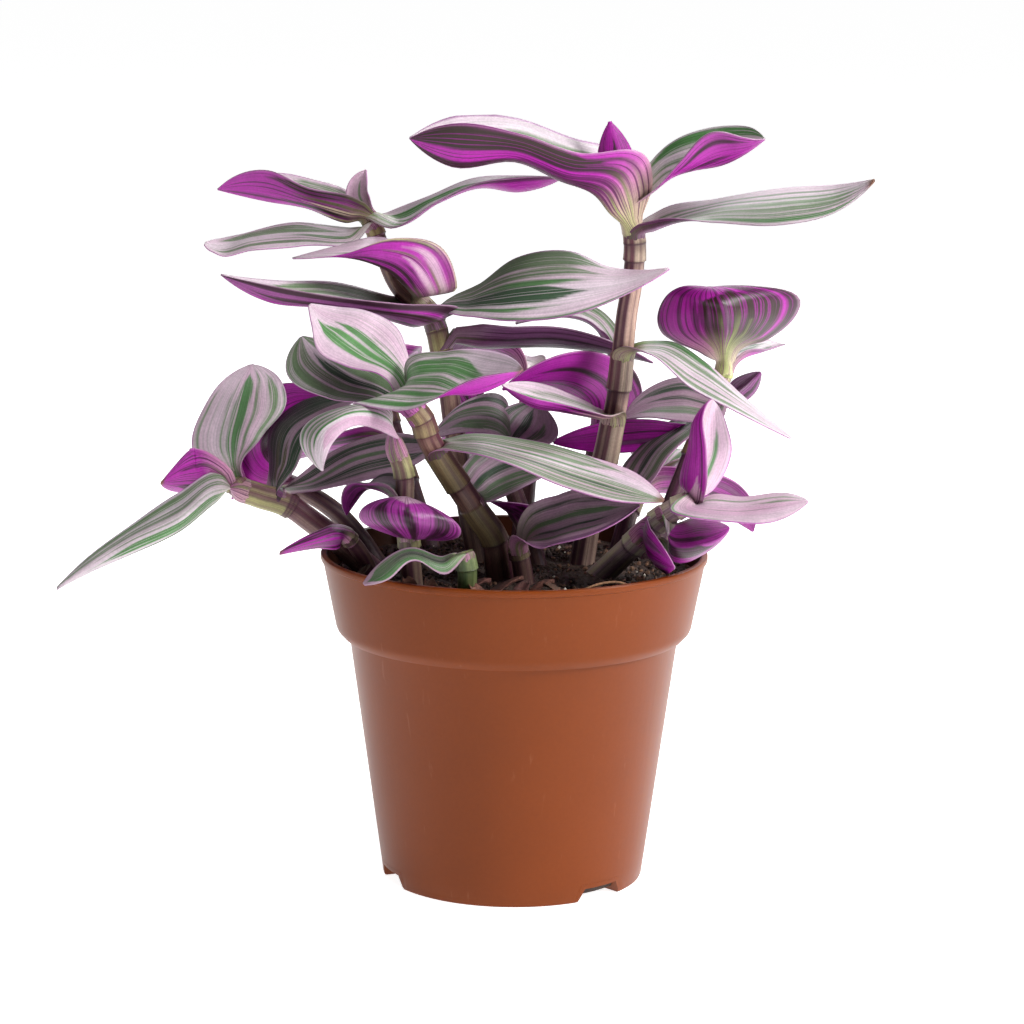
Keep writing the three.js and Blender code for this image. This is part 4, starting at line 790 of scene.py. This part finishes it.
class Surface:
    """A material, put together node by node."""

    def __init__(self, name, roughness, coat=0.0, specular=0.5):
        self.material = bpy.data.materials.new(name)
        self.material.use_nodes = True
        self.tree = self.material.node_tree
        self.shader = self.tree.nodes["Principled BSDF"]
        self.fill(self.shader, {"Roughness": roughness, "Coat Weight": coat, "Coat Roughness": 0.3,
                                "Specular IOR Level": specular})

    def fill(self, node, inputs):
        """Links a node's inputs to outputs of other nodes, or sets them to values."""
        for socket, value in inputs.items():
            if isinstance(value, bpy.types.NodeSocket):
                self.tree.links.new(value, node.inputs[socket])
            else:
                node.inputs[socket].default_value = value

    def node(self, kind, inputs, output, **settings):
        """One output of a new node."""
        node = self.tree.nodes.new("ShaderNode" + kind)
        for setting, value in settings.items():
            setattr(node, setting, value)
        self.fill(node, inputs)
        return node.outputs[output]

    def attribute(self, name, output="Color"):
        return self.node("Attribute", {}, output, attribute_name=name)

    def place(self):
        return self.node("TexCoord", {}, "Object")

    def noise(self, vector, scale, detail=2.0, roughness=0.5):
        return self.node("TexNoise", {"Vector": vector, "Scale": scale, "Detail": detail,
                                      "Roughness": roughness}, "Fac")

    def remap(self, value, low, high, to_low, to_high):
        return self.node("MapRange", {"Value": value, "From Min": low, "From Max": high,
                                      "To Min": to_low, "To Max": to_high}, "Result")

    def stretched(self, vector, factors):
        return self.node("VectorMath", {0: vector, 1: factors}, "Vector", operation="MULTIPLY")

    def blend(self, share, a, b):
        return self.node("Mix", {"Factor": share, "A": a, "B": b}, "Result", data_type="RGBA")

    def mottled(self, colour, pattern, low, high):
        """The colour, darkened and lightened by a pattern."""
        value = self.remap(pattern, 0.3, 0.7, low, high)
        return self.node("VectorMath", {0: colour, "Scale": value}, "Vector", operation="SCALE")

    def finished(self, colour, height, strength, distance):
        """The material, once it has its colour and its bumps."""
        normal = self.node("Bump", {"Height": height, "Strength": strength, "Distance": distance}, "Normal")
        self.fill(self.shader, {"Base Color": colour, "Normal": normal})
        return self.material


def foliage_material():
    """Painted stripes, with fine veins along the blade, and small cells speckled lighter and darker as a
    painted glint.
    """
    look = Surface("foliage", 0.4, 0.05, 0.32)
    lie, place = look.attribute("lie", "Vector"), look.place()
    veins = look.noise(look.stretched(lie, (1.6, 34.0, 7.3)), 1.0, 3.0)
    lines = look.noise(look.stretched(lie, (1.1, 24.0, 3.1)), 1.0, 2.0, 0.6)
    streaked = look.remap(lines, 0.54, 0.6, 0.0, 0.85)
    colour = look.blend(streaked, look.attribute("paint"), look.attribute("streak"))
    colour = look.mottled(colour, veins, 0.8, 1.18)
    # Painted glint: a fine speckle, lighter and darker cell by cell.
    colour = look.mottled(colour, look.noise(place, 1500.0, 1.0), 0.92, 1.08)
    colour = look.mottled(colour, look.noise(place, 160.0, 3.0), 0.92, 1.08)
    return look.finished(colour, veins, 0.35, 0.0004)


def pot_material():
    """Smooth terracotta-coloured plastic with faint scuffs, and painted shade in patches on its inner wall
    above the body.
    """
    look = Surface("pot", 0.38, 0.02, 0.14)
    place = look.place()
    cloud = look.noise(place, 22.0, 3.0)
    scuffs = look.noise(look.stretched(place, (1.0, 1.0, 0.12)), 420.0, 4.0, 0.6)
    colour = look.blend(look.remap(scuffs, 0.66, 0.78, 0.0, 0.45), (*TERRACOTTA, 1), (*SCUFFED, 1))
    # Painted shade: inward faces above the body are darkened, in patches.
    patches = {0: look.attribute("inner_wall_shade", "Fac"), 1: look.remap(cloud, 0.35, 0.6, 0.65, 0.95)}
    painted_shade_share = look.node("Math", patches, "Value", operation="MULTIPLY")
    colour = look.blend(painted_shade_share, colour, (*INNER_WALL_SHADE, 1))
    colour = look.mottled(colour, cloud, 0.95, 1.05)
    colour = look.mottled(colour, look.noise(place, 900.0), 0.97, 1.03)
    return look.finished(colour, scuffs, 0.06, 0.0003)


def earth_material():
    """Rough and matt, over the colours of the soil and of the loose things on it."""
    look = Surface("earth", 0.9)
    place = look.place()
    lumps = look.noise(place, 420.0, 4.0, 0.65)
    colour = look.mottled(look.attribute("paint"), lumps, 0.5, 1.6)
    colour = look.mottled(colour, look.noise(place, 1600.0), 0.75, 1.25)
    return look.finished(colour, lumps, 0.8, 0.001)


def soil_height(x, y):
    radius = np.hypot(x, y)
    dome = SOIL_DOME * (1 - (radius / SOIL_REACH) ** 2)
    return SOIL_EDGE_Z + dome + SOIL_BUMP * np.sin(0.21 * x + 1.3) * np.cos(0.24 * y)


def add_soil(builder):
    """The soil's body: a rough top, the pot's inside shape at its sides, and a flat foot."""
    def inside(z):
        return BASE_RADIUS - WALL + BODY_SLOPE * (z - FOOT_ROUND) - 0.45

    edge = RIM_RADIUS - WALL - 2.4
    low = FLOOR + 0.3
    rings = [(0.01, low), (inside(low) - 1.2, low), (inside(low + 2), low + 2),
             (inside(BODY_TOP_Z), BODY_TOP_Z),
             (BODY_TOP_RADIUS - WALL - 0.3, BODY_TOP_Z + 2.2), (BODY_TOP_RADIUS + 0.9, BODY_TOP_Z + 2.9),
             (COLLAR_RADIUS - WALL - 1.3, COLLAR_Z - 0.6), (COLLAR_RADIUS - WALL - 0.5, COLLAR_Z + 1.2)]
    points = [circle(radius, z, POT_SIDES) for radius, z in rings]
    rng = np.random.default_rng(5)
    for radius in np.linspace(edge, 0.05, SOIL_RINGS):
        x, y, _ = circle(radius, 0, POT_SIDES).T
        rough = rng.uniform(-0.55, 0.35, POT_SIDES) * min(1, radius / 8) * (radius < edge - 0.5)
        points.append(np.stack([x, y, soil_height(x, y) + rough], -1))
    cap = np.arange(POT_SIDES)
    caps = [cap[::-1], (len(points) - 1) * POT_SIDES + cap]
    builder.add(np.array(points), (grid_faces(len(points), POT_SIDES, wrap=True), caps), SOIL_TONE)


def add_crumb(builder, rng, centre, size, colour):
    """A small rough lump."""
    lump = bmesh.new()
    bmesh.ops.create_icosphere(lump, subdivisions=1, radius=1)
    points = np.array([tuple(v.co) for v in lump.verts])
    faces = [[v.index for v in f.verts] for f in lump.faces]
    lump.free()
    points *= rng.uniform(0.72, 1.2, (len(points), 1))
    points *= np.array([1, rng.uniform(0.6, 1), rng.uniform(0.5, 0.9)]) * size
    turn = np.array(Matrix.Rotation(rng.uniform(0, 6.28), 3, rng.uniform(-1, 1, 3)))
    builder.add(points @ turn.T + centre, (faces,), colour)


def add_strip(builder, rib, width, colour):
    """A thin curled strip along a line of points, such as a dry scrap of leaf."""
    ways = unit(np.gradient(rib, axis=0))
    side = unit(np.cross(ways, [0, 0, 1]) + 1e-6)
    up = np.cross(side, ways)
    u = np.linspace(0, 1, len(rib))
    half = width * (np.sin(np.pi * np.clip(u, 0.04, 0.96)) ** 0.6)[:, None]
    v = np.linspace(-1, 1, 5)
    top = rib[:, None] + side[:, None] * (half * v)[..., None] + up[:, None] * (0.9 * v ** 2)[None, :, None]
    low = top - up[:, None] * 0.25
    builder.add(np.concatenate([top, low]), slab_faces(len(rib), len(v)), colour)


def random_spot(rng, reach):
    """A place on the soil, and how far it is from the nearest stem's middle."""
    radius, angle = reach * np.sqrt(rng.uniform(0, 1)), rng.uniform(0, 2 * np.pi)
    x, y = radius * np.cos(angle), radius * np.sin(angle)
    return x, y, np.min(np.hypot(*(STEM_FEET - [x, y]).T))


def loose_pieces(material):
    """The crumbs, white grit, dry scraps and roots that lie on the soil."""
    rng = np.random.default_rng(11)
    crumbs = Builder()
    for _ in range(CRUMBS):
        x, y, clear = random_spot(rng, LOOSE_REACH - 0.8)
        size = rng.uniform(0.35, 1.1) ** 1.4
        if np.hypot(x, y) + size > LOOSE_REACH or clear < 4.6 + size:
            continue
        colour = CRUMB_TONES[rng.integers(5)]
        add_crumb(crumbs, rng, np.array([x, y, soil_height(x, y) + 0.35 * size]), size, colour)

    grit = Builder()
    for _ in range(GRIT):
        x, y, clear = random_spot(rng, LOOSE_REACH - 2)
        if clear < 6:
            continue
        size = rng.uniform(0.3, 0.75)
        add_crumb(grit, rng, np.array([x, y, soil_height(x, y) + 0.5]), size, GRIT_TONE)

    scraps = Builder()
    for x, y, turn, length, width, rise, colour in SCRAPS:
        along = np.linspace(-0.5, 0.5, 9) * length
        bow = 0.12 * length * np.cos(along / length * 3)
        px = x + along * np.cos(turn) - bow * np.sin(turn)
        py = y + along * np.sin(turn) + bow * np.cos(turn)
        curl = 0.5 * np.sin(along / length * 5 + x) + rise * ease(-0.5, 0.5, along / length)
        rib = np.stack([px, py, soil_height(px, py) + 1.1 + curl], -1)
        add_strip(scraps, rib, width, tone(colour) * 0.55)

    roots = Builder()
    for points, thick in ROOTS:
        curve = Spline([(x, y, soil_height(x, y) + up) for x, y, up in points])
        place = np.linspace(0, len(points) - 1, 40)
        ways = curve.direction(place)
        side = carried(ways, np.array([0.1, 0.2, 1.0]))
        rings = tube(curve.at(place), thick, side, np.cross(ways, side), around(ROOT_SIDES))
        roots.add(rings, (grid_faces(len(place), ROOT_SIDES, wrap=True),), ROOT_TONE)
    return [crumbs.mesh("soil_crumbs", material, smooth=False), grit.mesh("perlite", material, smooth=False),
            scraps.mesh("dry_scraps", material), roots.mesh("roots", material)]


def lathed(name, profile, segments):
    """A closed body turned round the pot's axis."""
    points = np.concatenate([circle(r, z, segments) for r, z in profile]) * MM
    faces = grid_faces(len(profile), segments, wrap=True).tolist()
    final = (len(profile) - 1) * segments
    faces += [list(range(segments))[::-1], [final + k for k in range(segments)]]
    data = bpy.data.meshes.new(name)
    data.from_pydata(points.tolist(), [], faces)
    return placed(name, data)


def block(angle, foot_width, top_width, height, inner, outer):
    """A tapered block that points outward from the pot's axis."""
    section = [(-foot_width / 2, -1), (foot_width / 2, -1), (foot_width / 2, 0), (top_width / 2, height),
               (-top_width / 2, height), (-foot_width / 2, 0)]
    turn = Matrix.Rotation(np.radians(angle), 4, "Z")
    points = [turn @ Matrix.Translation((x * MM, -r * MM, z * MM)).translation
              for r in (inner, outer) for x, z in section]
    faces = [list(range(6)), list(range(11, 5, -1))]
    faces += [[k, k + 6, (k + 1) % 6 + 6, (k + 1) % 6] for k in range(6)]
    data = bpy.data.meshes.new("block")
    data.from_pydata([tuple(p) for p in points], [], faces)
    mesh = bmesh.new()
    mesh.from_mesh(data)
    bmesh.ops.recalc_face_normals(mesh, faces=mesh.faces)
    mesh.to_mesh(data)
    mesh.free()
    return placed("block", data)


def combined(piece, tool, operation):
    """The piece after a boolean with the tool, which is used up."""
    step = piece.modifiers.new("cut", "BOOLEAN")
    step.operation, step.solver, step.object = operation, "EXACT", tool
    graph = bpy.context.evaluated_depsgraph_get()
    data = bpy.data.meshes.new_from_object(piece.evaluated_get(graph))
    piece.modifiers.clear()
    old, piece.data = piece.data, data
    bpy.data.meshes.remove(old)
    bpy.data.objects.remove(tool)
    return piece


def pot_piece(material):
    outside = [
        (BASE_RADIUS - FOOT_ROUND, 0), (BASE_RADIUS - 0.3, 0.25), (BASE_RADIUS, FOOT_ROUND),
        (BASE_RADIUS + BODY_SLOPE * 5.6, 6.5), (BASE_RADIUS + BODY_SLOPE * 11.1, 12),
        (BODY_TOP_RADIUS, BODY_TOP_Z),
        (BODY_TOP_RADIUS + 0.25, BODY_TOP_Z + 0.35), (BODY_TOP_RADIUS + 2.1, BODY_TOP_Z + 0.7),
        (COLLAR_RADIUS - 0.7, COLLAR_Z - 2.2), (COLLAR_RADIUS - 0.15, COLLAR_Z - 0.9),
        (COLLAR_RADIUS, COLLAR_Z),
        (RIM_RADIUS - 0.7, POT_HEIGHT - 2.2), (RIM_RADIUS - 0.15, POT_HEIGHT - 1.9),
        (RIM_RADIUS, POT_HEIGHT - 1.5), (RIM_RADIUS, POT_HEIGHT - 0.4),
        (RIM_RADIUS - 0.12, POT_HEIGHT - 0.12), (RIM_RADIUS - 0.4, POT_HEIGHT)]
    inside = [
        (RIM_RADIUS - 1.6, POT_HEIGHT), (RIM_RADIUS - 2.0, POT_HEIGHT - 0.15),
        (RIM_RADIUS - 2.1, POT_HEIGHT - 0.5),
        (COLLAR_RADIUS - WALL, COLLAR_Z + 0.6), (COLLAR_RADIUS - WALL - 0.8, COLLAR_Z - 1.2),
        (BODY_TOP_RADIUS + 1.2, BODY_TOP_Z + 2.1), (BODY_TOP_RADIUS - WALL, BODY_TOP_Z + 1.4),
        (BASE_RADIUS - WALL + 0.1, FLOOR + 1.2), (BASE_RADIUS - WALL - 1, FLOOR)]
    pot = lathed("pot_shell", outside + inside, POT_SIDES)
    inner = BASE_RADIUS - NOTCH_DEPTH
    for angle in NOTCH_ANGLES:
        roof = block(angle, NOTCH_FOOT_WIDTH + 2 * NOTCH_ROOF, NOTCH_TOP_WIDTH + 2 * NOTCH_ROOF,
                     NOTCH_HEIGHT + NOTCH_ROOF, inner - NOTCH_ROOF, BASE_RADIUS + 4)
        room = lathed("room", [(BASE_RADIUS - FOOT_ROUND, 0), (BASE_RADIUS, FOOT_ROUND),
                               (BASE_RADIUS + 1.2, 9)], POT_SIDES)
        pot = combined(pot, combined(roof, room, "INTERSECT"), "UNION")
    for angle in NOTCH_ANGLES:
        notch = block(angle, NOTCH_FOOT_WIDTH, NOTCH_TOP_WIDTH, NOTCH_HEIGHT, inner, BASE_RADIUS + 6)
        pot = combined(pot, notch, "DIFFERENCE")
        drain = lathed("drain", [(DRAIN_RADIUS, -2), (DRAIN_RADIUS, 10)], DRAIN_SIDES)
        drain.data.transform(Matrix.Rotation(np.radians(angle), 4, "Z")
                             @ Matrix.Translation((0, -DRAIN_AT * MM, 0)))
        pot = combined(pot, drain, "DIFFERENCE")
    pot.data.materials.clear()
    pot.data.materials.append(material)
    # Painted shade: inward faces above the body are marked for the material to darken.
    inner_wall_shade = pot.data.attributes.new("inner_wall_shade", "FLOAT", "FACE")
    for face in pot.data.polygons:
        inward = face.normal.x * face.center.x + face.normal.y * face.center.y < 0
        inner_wall_shade.data[face.index].value = float(inward and face.center.z > BODY_TOP_Z * MM)
    pot.data.shade_smooth()
    pot.data.set_sharp_from_angle(angle=np.radians(32))
    return pot


# Dry scraps: the middle's x and y, the turn, the length, half the width, how far one
# end rises, and the colour. Roots: points with their height over the soil, and a radius.
SCRAPS = (
    (-13, -47, 0.3, 13, 3.4, 4.0, "#6d4038"), (-9, -51, 2.6, 10, 2.6, 5.5, "#8a5a4c"),
    (3, -51, 1.2, 8, 2.4, 5.0, "#5c3530"), (-3, -48, 0.2, 12, 2.8, 6.0, "#70453a"),
    (30, -44, 0.6, 9, 1.6, 2.0, "#8f7048"), (-38, -34, 0.9, 10, 2.4, 4.0, "#5f4030"),
    (-24, -45, 1.9, 8, 1.9, 5.0, "#7c5a44"), (14, -50, 2.9, 11, 2.0, 5.0, "#6a4a3a"),
    (40, -33, 2.4, 9, 1.8, 3.0, "#7a5c40"), (-46, -22, 1.1, 9, 1.6, 3.0, "#4f3a2c"),
    (22, 22, 0.4, 12, 2.6, 2.0, "#6b4a3a"), (-12, 34, 1.5, 11, 2.4, 3.0, "#704c3c"),
    (8, -49, 0.5, 9, 2.2, 5.5, "#7a4a3c"), (-30, -42, 2.2, 9, 2.2, 5.0, "#6f4a36"),
    (22, -48, 0.2, 8, 1.7, 4.0, "#5a3c30"),
)
ROOTS = (
    (((14, -48, -0.8), (20, -49, 4.6), (28, -46, 6.4), (35, -40, 4.4), (40, -36, -1.0)), 0.4),
    (((-40, -30, -1.0), (-44, -26, 1.5), (-46, -18, 1.2), (-44, -12, -1.0)), 0.35),
)

foliage = foliage_material()
earth = earth_material()
for number, stem in enumerate(STEMS):
    builder = Builder()
    add_stem(builder, stem, 100 + number)
    for index, leaf in enumerate(stem["leaves"]):
        add_leaf(builder, stem, leaf, 31 * number + index + 1)
    piece = builder.mesh(stem["name"] + "_leafy", foliage)
    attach(piece, "root")
    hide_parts(stem["name"])

body = Builder()
add_soil(body)
soil = body.mesh("soil_body", earth, smooth=False)
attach(soil, "root")
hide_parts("soil")
for piece in loose_pieces(earth):
    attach(piece, "root")

pot = pot_piece(pot_material())
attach(pot, "root")
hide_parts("pot")

# Stage: a pale floor, soft lights and the camera.
floor_data = bpy.data.meshes.new("floor")
floor_data.from_pydata([(-40, -40, 0), (40, -40, 0), (40, 40, 0), (-40, 40, 0)], [], [(0, 1, 2, 3)])
floor = placed("floor", floor_data)
floor_look = Surface("floor", 0.9)
floor_look.fill(floor_look.shader, {"Base Color": (0.88, 0.88, 0.88, 1), "Emission Color": (1, 1, 1, 1),
                                    "Emission Strength": 0.9})
floor_data.materials.append(floor_look.material)

world = bpy.data.worlds.new("studio")
world.use_nodes = True
sky = world.node_tree.nodes["Background"].inputs
sky["Color"].default_value = (1, 1, 1, 1)
sky["Strength"].default_value = 0.1
bpy.context.scene.world = world

# Each light's place, the height it aims at, its size and its power. The key is at the
# right and strong, so the pot's left side falls into shade.
LIGHTS = dict(
    key=((1.05, -0.5, 0.7), 0.12, 0.4, 20),
    top=((0.0, -0.45, 1.3), 0.2, 0.6, 7),
    fill=((-0.8, -0.6, 0.9), 0.16, 0.7, 0.4),
    back=((0.25, 0.9, 0.8), 0.16, 0.6, 6),
)
for name, (place, aim, size, power) in LIGHTS.items():
    data = bpy.data.lights.new(name, "AREA")
    data.size = size
    data.energy = power
    light = placed(name, data)
    light.location = place
    way = Matrix.Translation((0, 0, aim)).translation - light.location
    light.rotation_euler = way.to_track_quat("-Z", "Y").to_euler()

CAMERA_PLACE = (-0.00077, -1.05842, 0.31746)
CAMERA_PITCH = 0.189
CAMERA_ROLL = 0.00673
lens = bpy.data.cameras.new("camera")
lens.sensor_width = 36
lens.lens = 122.34
lens.clip_start = 0.05
camera = placed("camera", lens)
camera.matrix_world = (Matrix.Translation(CAMERA_PLACE)
                       @ Matrix.Rotation(np.pi / 2 - CAMERA_PITCH, 4, "X")
                       @ Matrix.Rotation(CAMERA_ROLL, 4, "Z"))
bpy.context.scene.camera = camera
bpy.context.scene.view_settings.view_transform = "Standard"
